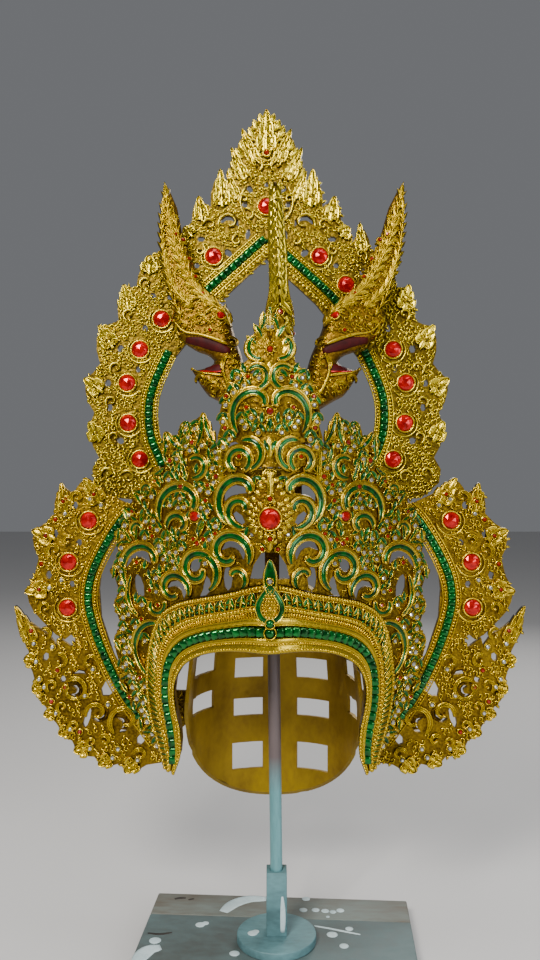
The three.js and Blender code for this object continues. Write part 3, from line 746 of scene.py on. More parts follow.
    def stone(self, at: Sequence[float], finish: Finish, radius: float, rise: float, lift: float, sides: int,
              collar: tuple = ()) -> None:
        """A stone, cut with a flat table or rounded, in a collar if one is given.

        Args:
            at: its centre.
            finish: its finish.
            radius: its radius.
            rise: its height.
            lift: how far its foot is lifted off the face.
            sides: faces round it.
            collar: the collar's radius, half width, height, sides and lift, as for ring.
        """
        if finish.cut:
            table = 0.84 if finish is Finish.RUBY else 0.98
            rings = (0.98, -0.5 / rise), (1.0, 0.22), (0.86, 0.55), (0.52, table)
        else:
            rings = (0.97, -0.5 / rise), (1.0, 0.15), (0.94, 0.42), (0.8, 0.68), (0.56, 0.88), (0.28, 0.98)
        self._dome(at, radius, rise, rings, finish, lift, sides, (1,) * (len(rings) + 1))
        if collar:
            self.ring(at, *collar)

    def cushion(self, at: Sequence[float], radius: float, rise: float, finish: Finish) -> None:
        """A square-cut stone with rounded corners and a low domed top."""
        rings = (0.97, -0.5 / rise), (1.0, 0.3), (0.9, 0.7), (0.68, 0.92), (0.35, 1.0)
        self._dome(at, radius, rise, rings, finish, 0.0, 16, (1,) * (len(rings) + 1), 0.5)

    def _dome(self, at: Sequence[float], radius: float, rise: float, rings: Sequence[Point],
              finish: Finish | None, lift: float, sides: int, crest: Sequence[float],
              square: float = 0.0) -> None:
        """Rings of points round a centre, closed by a middle point in front and a flat back.

        Args:
            at: the centre.
            radius: the radius.
            rise: the height.
            rings: share of the radius and of the height of each ring, from the foot.
            finish: the finish.
            lift: how far the foot is lifted off the face.
            sides: points in a ring.
            crest: how high each ring and the middle point lie in the relief.
            square: 0 for a round one, up to 1 for a square one.
        """
        a = np.arange(sides) * 2 * np.pi / sides
        wide = 1 + 0.36 * square * (1 - np.cos(4 * a))
        rows = []
        for q, (share, up) in enumerate(rings):
            turn = 0.0 if square else np.pi / sides * (q % 2)
            reach = radius * share * wide
            rows.append(np.stack([at[0] + reach * np.cos(a + turn), at[1] + reach * np.sin(a + turn),
                                  np.full(sides, lift + rise * up)], 1))
        points = np.vstack([*rows, [[at[0], at[1], lift + rise]]])
        quads, ends = tube(len(rings), sides)
        last = (len(rings) - 1) * sides
        fans = [[last + q, last + (q + 1) % sides, len(points) - 1] for q in range(sides)] + [ends[0][::-1]]
        look = self._look(finish)
        self._add(points, np.r_[np.repeat(crest[:-1], sides), crest[-1]], quads[:, [0, 3, 2, 1]],
                  np.full(len(quads), look), fans, look)

    def ring(self, at: Sequence[float], radius: float, half: float, rise: float, sides: int = 18,
             lift: float = 0.0) -> None:
        """A round collar of so many sides about a stone."""
        line = spiral(at[0], at[1], radius, radius, 0, 360, sides + 1)
        self.sweep(line, half, rise, Moulding.ROUND if sides > 12 else Moulding.RIDGE, lift)

    def mesh(self, name: str, places: Sequence[Place] = ()) -> bpy.types.Mesh:
        """The relief as a mesh that has no materials yet.

        Args:
            name: the mesh's name.
            places: where copies of the relief go, if not simply where it was drawn.

        Returns:
            The mesh.
        """
        x, z, lift = np.vstack(self.points).T
        drawn = lifted(self.face, x, z, lift)
        copies = [place(drawn) for place in places] or [drawn]
        step, count = len(drawn), len(copies)
        faces = np.vstack([np.vstack(self.quads) + step * q for q in range(count)]).tolist()
        faces += [[i + step * q for i in fan] for q in range(count) for fan in self.fans]
        looks = np.r_[np.tile(np.concatenate(self.looks), count), np.tile(self.fan_looks, count)]
        mesh = bpy.data.meshes.new(name)
        mesh.from_pydata((np.vstack(copies) * MM).tolist(), [], faces)
        mesh.polygons.foreach_set("material_index", looks.astype(np.int32))
        mesh.polygons.foreach_set("use_smooth", ~np.array([f.cut for f in self.finishes])[looks])
        spread(mesh, "crest", np.tile(np.concatenate(self.crests), count))
        return mesh

    def build(self, name: str, *replaced: str, slot: Slot = Slot.GOLD, places: Sequence[Place] = ()) -> None:
        """Makes the piece and hands it to the frame.

        Args:
            name: the piece's name.
            replaced: CAD nodes that it stands for.
            slot: the record's material slot.
            places: as for mesh.
        """
        mesh = self.mesh(name, places)
        for finish in self.finishes:
            mesh.materials.append(material(finish))
        with edited(mesh) as work:
            bmesh.ops.recalc_face_normals(work, faces=work.faces)
        settle(link_new(name, mesh), *replaced, slot=slot)


@contextmanager
def edited(mesh: bpy.types.Mesh) -> Iterator[bmesh.types.BMesh]:
    """Opens a mesh for editing and writes it back.

    Args:
        mesh: the mesh.

    Yields:
        Its editable form.
    """
    work = bmesh.new()
    work.from_mesh(mesh)
    yield work
    work.to_mesh(mesh)
    work.free()
    mesh.update()


def settle(piece: bpy.types.Object, *replaced: str, slot: Slot = Slot.GOLD) -> None:
    """Puts a finished piece on the body and hides the nodes it stands for.

    Args:
        piece: the piece, in the scene.
        replaced: CAD nodes that it stands for.
        slot: not used.
    """
    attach(piece, "root")
    if replaced:
        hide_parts(*replaced)
    LOG.info("%s: %d faces", piece.name, len(piece.data.polygons))


def shade_smooth(mesh: bpy.types.Mesh) -> None:
    """Shades all faces smooth."""
    mesh.polygons.foreach_set("use_smooth", [True] * len(mesh.polygons))
    mesh.update()


# ---------------------------------------------------------------- geometry nodes
class Tree(Graph):
    """A Geometry Nodes tree with named inputs, run on a piece and baked."""

    def __init__(self, name: str, **inputs: str) -> None:
        """Starts a tree.

        Args:
            name: the tree's name.
            inputs: name and socket kind of each input after the geometry.
        """
        super().__init__(bpy.data.node_groups.new(name, "GeometryNodeTree"))
        face = self.tree.interface
        self.keys = {}
        for label, kind in {"Geometry": "Geometry", **inputs}.items():
            made = face.new_socket(name=label, in_out="INPUT", socket_type=f"NodeSocket{kind}")
            self.keys[label] = made.identifier
        face.new_socket(name="Geometry", in_out="OUTPUT", socket_type="NodeSocketGeometry")
        self.entry = self.tree.nodes.new("NodeGroupInput").outputs

    def shape(self) -> Socket:
        """The geometry of the object in the input named Shape."""
        return self.add("GeometryNodeObjectInfo", {"Object": self.entry["Shape"]}, "Geometry")

    def close(self, geometry: Socket, crest: bool = True) -> None:
        """Ends the tree in Realize Instances and Set Material.

        Args:
            geometry: the last geometry.
            crest: mark the whole as lying high, so that the gilding's painted shade leaves it light.
        """
        last = self.add("GeometryNodeRealizeInstances", {0: geometry})
        if crest:
            last = self.add("GeometryNodeStoreNamedAttribute",
                            {"Geometry": last, "Name": "crest", "Value": 0.85},
                            data_type="FLOAT", domain="POINT")
        last = self.add("GeometryNodeSetMaterial", {"Geometry": last, "Material": self.entry["Material"]})
        self.put(self.tree.nodes.new("NodeGroupOutput"), 0, last)

    def bake(self, piece: bpy.types.Object, **values: object) -> None:
        """Runs the tree on a piece and leaves a plain mesh there.

        Args:
            piece: the piece, already in the scene.
            values: value of each named input.
        """
        run = piece.modifiers.new("made", "NODES")
        run.node_group = self.tree
        for label, value in values.items():
            run[self.keys[label]] = value
        graph = bpy.context.evaluated_depsgraph_get()
        mesh = bpy.data.meshes.new_from_object(piece.evaluated_get(graph), preserve_all_data_layers=True,
                                               depsgraph=graph)
        piece.modifiers.remove(run)
        piece.data = mesh


def row_tree() -> Tree:
    """A tree that sets a small shape along lines, its X along the line.

    Returns:
        The tree, with inputs Shape, Pitch and Material.
    """
    tree = Tree("row_along_lines", Shape="Object", Pitch="Float", Material="Material")
    line = tree.add("GeometryNodeMeshToCurve", {0: tree.entry["Geometry"]})
    even = tree.add("GeometryNodeResampleCurve", {0: line, "Length": tree.entry["Pitch"]}, mode="LENGTH")
    turn = tree.add("FunctionNodeAlignRotationToVector", {"Vector": tree.add("GeometryNodeInputTangent")},
                    axis="X", pivot_axis="Y")
    tree.close(tree.add("GeometryNodeInstanceOnPoints",
                        {"Points": even, "Instance": tree.shape(), "Rotation": turn}))
    return tree


def rail_tree() -> Tree:
    """A tree that sweeps a round bar along lines.

    Returns:
        The tree, with inputs Radius and Material.
    """
    tree = Tree("rail_along_lines", Radius="Float", Material="Material")
    line = tree.add("GeometryNodeMeshToCurve", {0: tree.entry["Geometry"]})
    ring = tree.add("GeometryNodeCurvePrimitiveCircle", {"Resolution": 7, "Radius": tree.entry["Radius"]})
    tree.close(tree.add("GeometryNodeCurveToMesh", {"Fill Caps": True, "Curve": line, "Profile Curve": ring}))
    return tree


def scatter_tree() -> Tree:
    """A tree that sets a small shape on points, turned and sized by the points' own values.

    Returns:
        The tree, with inputs Shape and Material.
    """
    tree = Tree("curls_on_points", Shape="Object", Material="Material")
    turn, size = (tree.add("GeometryNodeInputNamedAttribute", {"Name": name}, data_type="FLOAT")
                  for name in ("turn", "size"))
    tree.close(tree.add("GeometryNodeInstanceOnPoints",
                        {"Points": tree.entry["Geometry"], "Instance": tree.shape(), "Scale": size,
                         "Rotation": tree.add("ShaderNodeCombineXYZ", {"Y": turn})}), crest=False)
    return tree


class Footing:
    """The CAD solids' fronts, for finding what can carry ornament."""

    def __init__(self, *nodes: str) -> None:
        """Gathers the nodes' faces.

        Args:
            nodes: CAD node names.
        """
        points: list[Vector] = []
        faces: list[list[int]] = []
        for name in nodes:
            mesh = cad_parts[name].data
            start = len(points)
            points += [v.co.copy() for v in mesh.vertices]
            faces += [[i + start for i in p.vertices] for p in mesh.polygons]
        self.tree = BVHTree.FromPolygons(points, faces)

    def holds(self, x: float, z: float, margin: float) -> bool:
        """True if solid lies behind the place and a margin round it."""
        around = (x, z), (x + margin, z), (x - margin, z), (x, z + margin), (x, z - margin)
        return all(self.tree.ray_cast(Vector((a * MM, -1, b * MM)), Vector((0, 1, 0)))[0] for a, b in around)


class Workshop:
    """The shared trees and small shapes, and what they make."""

    def __init__(self) -> None:
        """Builds the trees and the small shapes, which stay in the scene until clear."""
        self.row, self.rail, self.scatter = row_tree(), rail_tree(), scatter_tree()
        bead, curl, petal = (Relief(Face(0.0), Finish.GILT) for _ in range(3))
        stone = Relief(Face(0.0), Finish.EMERALD)
        bead.bead((0, 0), 1.0, 1.0, sides=7)
        stone.cushion((0, 0), 0.94, 0.62, Finish.EMERALD)
        curl.scroll(spiral(0.4, 0.6, 2.5, 0.7, -100, 290, 8), 0.9, 1.8, Moulding.RIDGE, boss=0.8)
        curl.leaf((-0.4, -1.6), (2.6, -5.0), 2.6, 1.5, bow=0.25)
        petal.leaf((0, -1.0), (0, 1.0), 1.15, 0.5, sunk=0.2)
        self.shapes = {name: link_new(f"{name}_shape", relief.mesh(f"{name}_shape")) for name, relief in
                       (("bead", bead), ("stone", stone), ("curl", curl), ("petal", petal))}

    @staticmethod
    def lines(name: str, face: Face, paths: Sequence[np.ndarray], lift: float) -> bpy.types.Object:
        """Lines on a face, as bare edges.

        Args:
            name: the object's name.
            face: the face they lie on.
            paths: the lines.
            lift: how far they are lifted off the face.

        Returns:
            The object.
        """
        ends = set(np.cumsum([len(path) for path in paths]) - 1)
        x, z = np.vstack(paths).T
        mesh = bpy.data.meshes.new(name)
        mesh.from_pydata((lifted(face, x, z, lift) * MM).tolist(),
                         [(i, i + 1) for i in range(len(x) - 1) if i not in ends], [])
        return link_new(name, mesh)

    def beads(self, name: str, face: Face, paths: Sequence[np.ndarray], radius: float, pitch: float,
              lift: float, finish: Finish) -> None:
        """Rows of round beads along paths.

        Args:
            name: the piece's name.
            face: the face they lie on.
            paths: the rows.
            radius: a bead's radius.
            pitch: from bead to bead.
            lift: how far the feet are lifted off the face.
            finish: their finish.
        """
        self._along(name, face, paths, "bead", (radius, radius, radius), pitch, lift, finish)

    def stones(self, name: str, face: Face, paths: Sequence[np.ndarray], size: Point, pitch: float,
               lift: float, *replaced: str) -> None:
        """Rows of green stones along paths.

        Args:
            name: the piece's name.
            face: the face they lie on.
            paths: the rows.
            size: half a stone's length along the row, and half its height.
            pitch: from stone to stone.
            lift: how far the feet are lifted off the face.
            replaced: CAD nodes that they stand for.
        """
        shape = (size[0], size[1] * 1.25, size[1])
        self._along(name, face, paths, "stone", shape, pitch, lift, Finish.EMERALD, *replaced)

    def petals(self, name: str, face: Face, paths: Sequence[np.ndarray], size: Point, pitch: float,
               lift: float, finish: Finish) -> None:
        """Rows of upright petals along paths.

        Args:
            name: the piece's name.
            face: the face they lie on.
            paths: the rows.
            size: a petal's width and height.
            pitch: from petal to petal.
            lift: how far the feet are lifted off the face.
            finish: their finish.
        """
        self._along(name, face, paths, "petal", (size[0], 3.2, size[1] / 2), pitch, lift, finish)

    def _along(self, name: str, face: Face, paths: Sequence[np.ndarray], shape: str, size: Rgb,
               pitch: float, lift: float, finish: Finish, *replaced: str) -> None:
        """Sets a small shape, stretched along X, the lift and Z, along paths.

        Args:
            name: the piece's name.
            face: the face they lie on.
            paths: the rows.
            shape: the small shape's name.
            size: the three stretches.
            pitch: from one to the next.
            lift: how far the feet are lifted off the face.
            finish: their finish.
            replaced: CAD nodes that they stand for.
        """
        sized = link_new(f"{shape}_sized", self.shapes[shape].data.copy())
        for v in sized.data.vertices:
            v.co = Vector((v.co.x * size[0], v.co.y * size[1], v.co.z * size[2]))
        piece = self.lines(name, face, paths, lift)
        self.row.bake(piece, Shape=sized, Pitch=pitch * MM, Material=material(finish))
        bpy.data.objects.remove(sized)
        settle(piece, *replaced, slot=finish.slot)

    def rails(self, name: str, face: Face, paths: Sequence[np.ndarray], radius: float, lift: float,
              finish: Finish) -> None:
        """Round bars along paths.

        Args:
            name: the piece's name.
            face: the face they lie on.
            paths: the bars' middle lines.
            radius: their radius.
            lift: how far the middle lines are lifted off the face.
            finish: their finish.
        """
        piece = self.lines(name, face, paths, lift)
        self.rail.bake(piece, Radius=radius * MM, Material=material(finish))
        shade_smooth(piece.data)
        settle(piece, slot=finish.slot)

    def chain(self, part: str, face: Face, paths: Sequence[np.ndarray], size: Point, pitch: float,
              bead: Disc, finish: Finish, *replaced: str) -> None:
        """Rows of green stones, each between two rows of beads.

        Args:
            part: what the pieces' names start with.
            face: the face they lie on.
            paths: the rows of stones.
            size: as for stones.
            pitch: from stone to stone.
            bead: a bead's radius, the pitch from bead to bead, and how far from the stones they run.
            finish: the beads' finish.
            replaced: CAD nodes that the stones stand for.
        """
        self.stones(f"{part}_green_stones", face, paths, size, pitch, 1.2, *replaced)
        radius, step, gap = bead
        for name, over in (("out", gap), ("in", -gap)):
            row = [offset(p, over) for p in paths]
            self.beads(f"{part}_beads_{name}", face, row, radius, step, 0.6, finish)

    def curls(self, name: str, face: Face, spots: Sequence[Spot], finish: Finish) -> None:
        """Small curls.

        Args:
            name: the piece's name.
            face: the face they lie on.
            spots: x, z, turn in radians and size of each.
            finish: their finish.
        """
        x, z, turn, size = np.array(spots).T
        mesh = bpy.data.meshes.new(name)
        mesh.from_pydata((lifted(face, x, z, 0.0) * MM).tolist(), [], [])
        spread(mesh, "turn", turn)
        spread(mesh, "size", size)
        piece = link_new(name, mesh)
        self.scatter.bake(piece, Shape=self.shapes["curl"], Material=material(finish))
        settle(piece, slot=finish.slot)

    def clear(self) -> None:
        """Throws the small shapes away."""
        for shape in self.shapes.values():
            bpy.data.objects.remove(shape)


def fill_spots(footing: Footing, face: Face, box: Spot, step: float, keep_off: Sequence[Disc],
               heading: Callable[[float, float], float], seed: int, margin: float,
               size: Point = (0.8, 1.1)) -> list[Spot]:
    """Spots for small curls over the free part of a pierced plate.

    Args:
        footing: the plate.
        face: its face, for the shift.
        box: low x, low z, high x, high z.
        step: distance between spots.
        keep_off: the places to leave bare.
        heading: the way a curl at x, z points, in radians.
        seed: the jitter's seed.
        margin: solid needed round a spot.
        size: smallest and largest size.

    Returns:
        x, z, turn and size of each curl.
    """
    dice = random.Random(seed)
    off = np.array(keep_off, float)
    out = []
    for r in range(int((box[3] - box[1]) / (step * 0.87)) + 1):
        for c in range(int((box[2] - box[0]) / step) + 1):
            x = box[0] + (c + 0.5 * (r % 2) + dice.uniform(-0.22, 0.22)) * step
            z = box[1] + (r * 0.87 + dice.uniform(-0.2, 0.2)) * step
            turn, big = heading(x, z) + dice.uniform(-0.7, 0.7), dice.uniform(*size)
            free = np.all(np.hypot(off[:, 0] - x, off[:, 1] - z) >= off[:, 2])
            if free and footing.holds(x + face.shift, z, margin):
                out.append((x, z, turn, big))
    return out


def outward(height: float, turn: float = 0.0) -> Callable[[float, float], float]:
    """Headings of curls that stream away from a place in the middle, turned by an angle."""
    return lambda x, z: turn - math.atan2(z - height, x)


def upward(x: float, z: float) -> float:
    """Heading of curls that stream up."""
    return -math.pi / 2 + 0.4 * (1 if x > 0 else -1)


def along(path: np.ndarray, radius: float, step: float = 4.0) -> list[Disc]:
    """Keep-off discs along a path."""
    length = float(np.linalg.norm(np.diff(path, axis=0), axis=1).sum())
    return [(x, z, radius) for x, z in resample(path, max(2, int(length / step)))]


def offset(path: np.ndarray, distance: float) -> np.ndarray:
    """The path moved to its left by a distance."""
    return path + sideways(path)[1] * distance


@dataclass(frozen=True)
class Flames:
    """How the flame leaves along a plate's edge are dressed.

    Args:
        depth: how far in from the notches a leaf's foot lies.
        rise: height of the middle leaf.
        enamel: finish of a pair of strokes up the leaf, if it has them.
        stone: finish of the small stone at its heart, if it has one.
        heart: the plate's middle on the right side, which the leaves point away from.
        wide: a leaf's width as a share of its stretch of edge.
    """

    depth: float = 9.0
    rise: float = 4.4
    enamel: Finish | None = None
    stone: Finish | None = None
    heart: Point = (0.0, 560.0)
    wide: float = 0.92

    def dress(self, relief: Relief, start: Point, rows: Sequence[Spot], side: int) -> list[Point]:
        """Sets a flame on each stretch of an edge between two notches.

        Args:
            relief: where they go.
            start: the edge's first notch.
            rows: tip x, tip z, and the notch after it, for each flame.
            side: 1 for the right, -1 for the left.

        Returns:
            The flames' feet, as on the right.
        """
        before = np.array(start, float)
        feet = []
        for row in rows:
            tip, after = np.array(row[:2], float), np.array(row[2:], float)
            middle, edge = (before + after) / 2, after - before
            out = tip - middle
            if np.linalg.norm(out) < 6:
                normal = np.array([-edge[1], edge[0]]) / np.linalg.norm(edge)
                normal = normal * (np.sign(normal @ (middle - np.array(self.heart))) or 1.0)
                out = normal + 0.5 * out / max(float(np.linalg.norm(out)), 1e-6)
            out = out / np.linalg.norm(out)
            foot = middle - out * self.depth
            if (tip - foot) @ out < self.depth + 4:
                tip = middle + out * 4.5
            self.flame(relief, foot, tip, min(float(np.linalg.norm(edge)) * self.wide, 27), side)
            feet.append((float(foot[0]), float(foot[1])))
            before = after
        return feet

    def flame(self, relief: Relief, foot: Sequence[float], tip: Sequence[float], width: float,
              side: int) -> None:
        """One flame: a rimmed plate with stepped, pointed edges and pairs of curls up its face.

        Args:
            relief: where it goes.
            foot: its foot on the right.
            tip: its tip on the right.
            width: its width.
            side: 1 for the right, -1 to mirror it to the left.
        """
        foot, tip = np.array(foot, float), np.array(tip, float)
        length = float(np.linalg.norm(tip - foot))
        out = (tip - foot) / length
        across = np.array([-out[1], out[0]])

        def at(up: float, over: float) -> Point:
            """A place up the flame by a share of its length and over by a share of its width."""
            return tuple(flipped(foot + out * length * up + across * width * over, side))

        tiers = 3 if length > 26 else 2
        t = np.linspace(0, 1, 9 * tiers + 1)
        half = width / 2 * (1 - t) ** 0.72 * (0.72 + 0.28 * ((t * tiers) % 1.0) ** 0.7)
        axis = np.array([at(q, 0) for q in t * 1.05])
        relief.sweep(axis, half, self.rise * 0.8, Moulding.PLATE, sunk=3.4, lean=0.55)
        turned = math.degrees(math.atan2(out[1], out[0]))
        for tier in range(tiers):
            share = (tier + 0.42) / (tiers + 0.2)
            reach = width / 2 * (1 - share) ** 0.72 * 0.84
            for hand in (-1, 1):
                spot = foot + out * (length * share + reach * 0.3) + across * hand * reach * 0.5
                radius = max(reach * 0.34, 1.2)
                line = spiral(spot[0], spot[1], radius, radius * 0.3, turned + 180, -hand * 300, 10)
                relief.scroll(flipped(line, side), 0.65 + radius * 0.17, 2.3, Moulding.RIDGE,
                              boss=radius * 0.34, lift=self.rise * 0.4)
        relief.leaf(at(0.56, 0), at(1.03, 0), max(width * 0.2, 2.6), 2.2, lift=self.rise * 0.5)
        if self.stone:
            relief.stone(at(0.42, 0), self.stone, 1.9, 2.2, self.rise, 8, (2.6, 0.8, self.rise + 1.6, 10))
        if self.enamel:
            for hand in (-1, 1):
                stroke = bowed(at(0.1, 0.34 * hand), at(0.92, 0.06 * hand), -0.16 * hand * side, 8)
                relief.sweep(stroke, 2.0 * swell(0.14, 0.86, 8), 5.4, Moulding.CELL, band=self.enamel)


# ---------------------------------------------------------------- halo
@dataclass
class Halo:
    """The upright ring of flames behind the heads."""

    face: Face = Face(32.0, shift=-3.5)
    # the crown's flames beside its tip: foot, tip, width
    crown: tuple = ((30, 757, 40, 784, 16), (22, 776, 35.5, 808, 19), (11.5, 794, 24.5, 827, 19))
    # small leaves along the crown's edge between them: from and to
    teeth: tuple = ((3, 834, 7.5, 845), (7, 827, 13.5, 839), (11, 819, 18.5, 831), (20, 806, 27.5, 817),
                    (24, 800, 32, 810), (28, 786, 36.5, 797), (31, 778, 39, 789), (32, 764, 39, 774))
    start: Point = (34, 764)
    leaves: tuple = (
        (47, 786, 57, 750), (69, 759, 76, 735),
        (84, 728, 87, 712), (95, 732, 106, 708), (119, 699, 133, 668), (145, 669, 151, 634),
        (170, 628, 170, 590), (185, 574, 176, 540), (180, 530, 171, 494),
    )
    stones: tuple = ((54, 699), (81, 670), (107, 635), (129, 604), (142, 570), (141, 529), (129, 492))
    roof: tuple = ((4, 715), (31, 691), (63, 662), (82, 640))
    flank: tuple = ((101, 600), (113, 573), (119, 553), (120, 532), (117, 512), (107, 488))
    # scrolls: x, z, radius at the start and end, bearing, turn
    scrolls: tuple = (
        (13, 813, 7, 1.5, -80, 330), (11, 793, 8, 1.6, 250, -330), (22, 779, 7, 1.5, 200, -330),
        (38, 733, 12, 3.0, -30, 300), (19, 741, 7, 1.5, 60, 300), (23, 757, 6, 1.4, -40, 320),
        (58, 731, 7, 1.5, 0, 320), (68, 705, 6, 1.4, 120, 320), (96, 700, 7, 1.5, -60, 320),
        (123, 672, 7, 1.5, -60, 320), (140, 640, 7, 1.5, -80, 320), (153, 585, 8, 1.6, -60, 320),
        (158, 551, 7, 1.5, -60, 320), (155, 515, 7, 1.5, -80, 320), (30, 715, 6, 1.4, 90, -300),
        (141, 474, 8, 1.8, 20, 320), (162, 478, 7, 1.5, -20, 300),
    )

    def paths(self, side: int) -> tuple[np.ndarray, np.ndarray]:
        """The lines of green stones under the roof and down the flank."""
        return flipped(smooth(self.roof, 24), side), flipped(smooth(self.flank, 28), side)

    def build(self, shop: Workshop) -> None:
        """Builds the relief, the stones and the bead rows.

        Args:
            shop: the shared trees and shapes.
        """
        relief = Relief(self.face, Finish.HALO_GILT)
        keep: list[Disc] = []
        for side in (-1, 1):
            feet = Flames(8.5).dress(relief, self.start, self.leaves, side)
            keep += [(side * x, z, 5.0) for x, z in feet]
            for ax, az, bx, bz, width in self.crown:
                Flames().flame(relief, (ax, az), (bx, bz), width, side)
                keep.append((side * (ax + bx) / 2, (az + bz) / 2, 9.0))
            for x, z, start, *curve in self.scrolls:
                line = flipped(spiral(x, z, start, *curve, 18), side)
                relief.scroll(line, 2.1, 4.4, Moulding.ROUND, boss=1.7)
                keep.append((side * x, z, start * 0.8))
            for path in self.paths(side):
                keep += along(path, 11.0)
            bracket = flipped(spiral(1, 752, 27, 24, 42, -84, 16), side)
            relief.scroll(bracket, 1.9, 4.4, Moulding.ROUND, boss=1.7)
            keep += along(bracket, 3.5)
            for ax, az, bx, bz in self.teeth:
                relief.leaf((side * ax, az), (side * bx, bz), 7.5, 3.4, bow=-0.1 * side)
        Flames(rise=5.5).flame(relief, (0, 803), (0, 846), 29, 1)
        relief.stone((0, 804), Finish.GARNET, 2.6, 2.6, 3.0, 10, (3.6, 1.2, 4.6))
        for radius in (8.0, 12.5):
            relief.sweep(spiral(0, 804, radius, radius, 150, 240, 18), 1.3, 3.6, Moulding.ROUND)
        relief.build("halo_relief", slot=Slot.HALO)
        self._stones(keep)
        self._rows(shop)
        self._fill(shop, keep)

    def _stones(self, keep: list[Disc]) -> None:
        """The red stones in their collars, each with a scroll round its foot.

        Args:
            keep: the list that their keep-off discs are added to.
        """
        gems = Relief(self.face, Finish.HALO_GILT)
        spots = [(0.0, 750.0, 1)] + [(side * x, z, side) for x, z in self.stones for side in (-1, 1)]
        for x, z, side in spots:
            gems.stone((x, z), Finish.RUBY, 8.3, 4.8, 0.9, 12, (9.2, 1.25, 3.4, 20))
            arm = flipped(spiral(abs(x), z, 14.5, 12.0, -150, 190, 18), side)
            gems.scroll(arm, 1.7, 2.8, Moulding.ROUND, boss=1.7)
            keep.append((x, z, 13.0))
        names = ["halo_stone_top"] + [f"halo_stone_{s}_{i}" for i in range(1, 8) for s in ("left", "right")]
        gems.build("halo_stones", *names, slot=Slot.RED)

    def _rows(self, shop: Workshop) -> None:
        """The green stones, the beads beside them and the smooth rails.

        Args:
            shop: the shared trees and shapes.
        """
        lines = [p for side in (-1, 1) for p in self.paths(side)]
        names = [f"halo_chain_{part}_{s}" for part in ("roof", "side") for s in ("left", "right")]
        shop.chain("halo", self.face, lines, (3.4, 4.0), 6.5, (1.55, 3.3, 6.6), Finish.HALO_GILT, *names)
        roofs = [offset(lines[0], 12.0), offset(lines[2], -12.0)]
        shop.beads("halo_beads_roof", self.face, roofs, 2.1, 4.6, 0.4, Finish.HALO_GILT)
        rails = [offset(p, over) for p in lines for over in (-4.7, 4.7, -9.0, 9.0)]
        shop.rails("halo_rails", self.face, rails, 0.75, 0.9, Finish.HALO_GILT)

    def _fill(self, shop: Workshop, keep: list[Disc]) -> None:
        """Small curls over what is left of the plate.

        Args:
            shop: the shared trees and shapes.
            keep: keep-off discs.
        """
        spots = fill_spots(Footing("halo"), self.face, (-186, 450, 186, 842), 6.5, keep,
                           outward(560, math.pi * 0.15), 5, 2.3, (1.1, 1.45))
        shop.curls("halo_curls", self.face, spots, Finish.HALO_GILT)


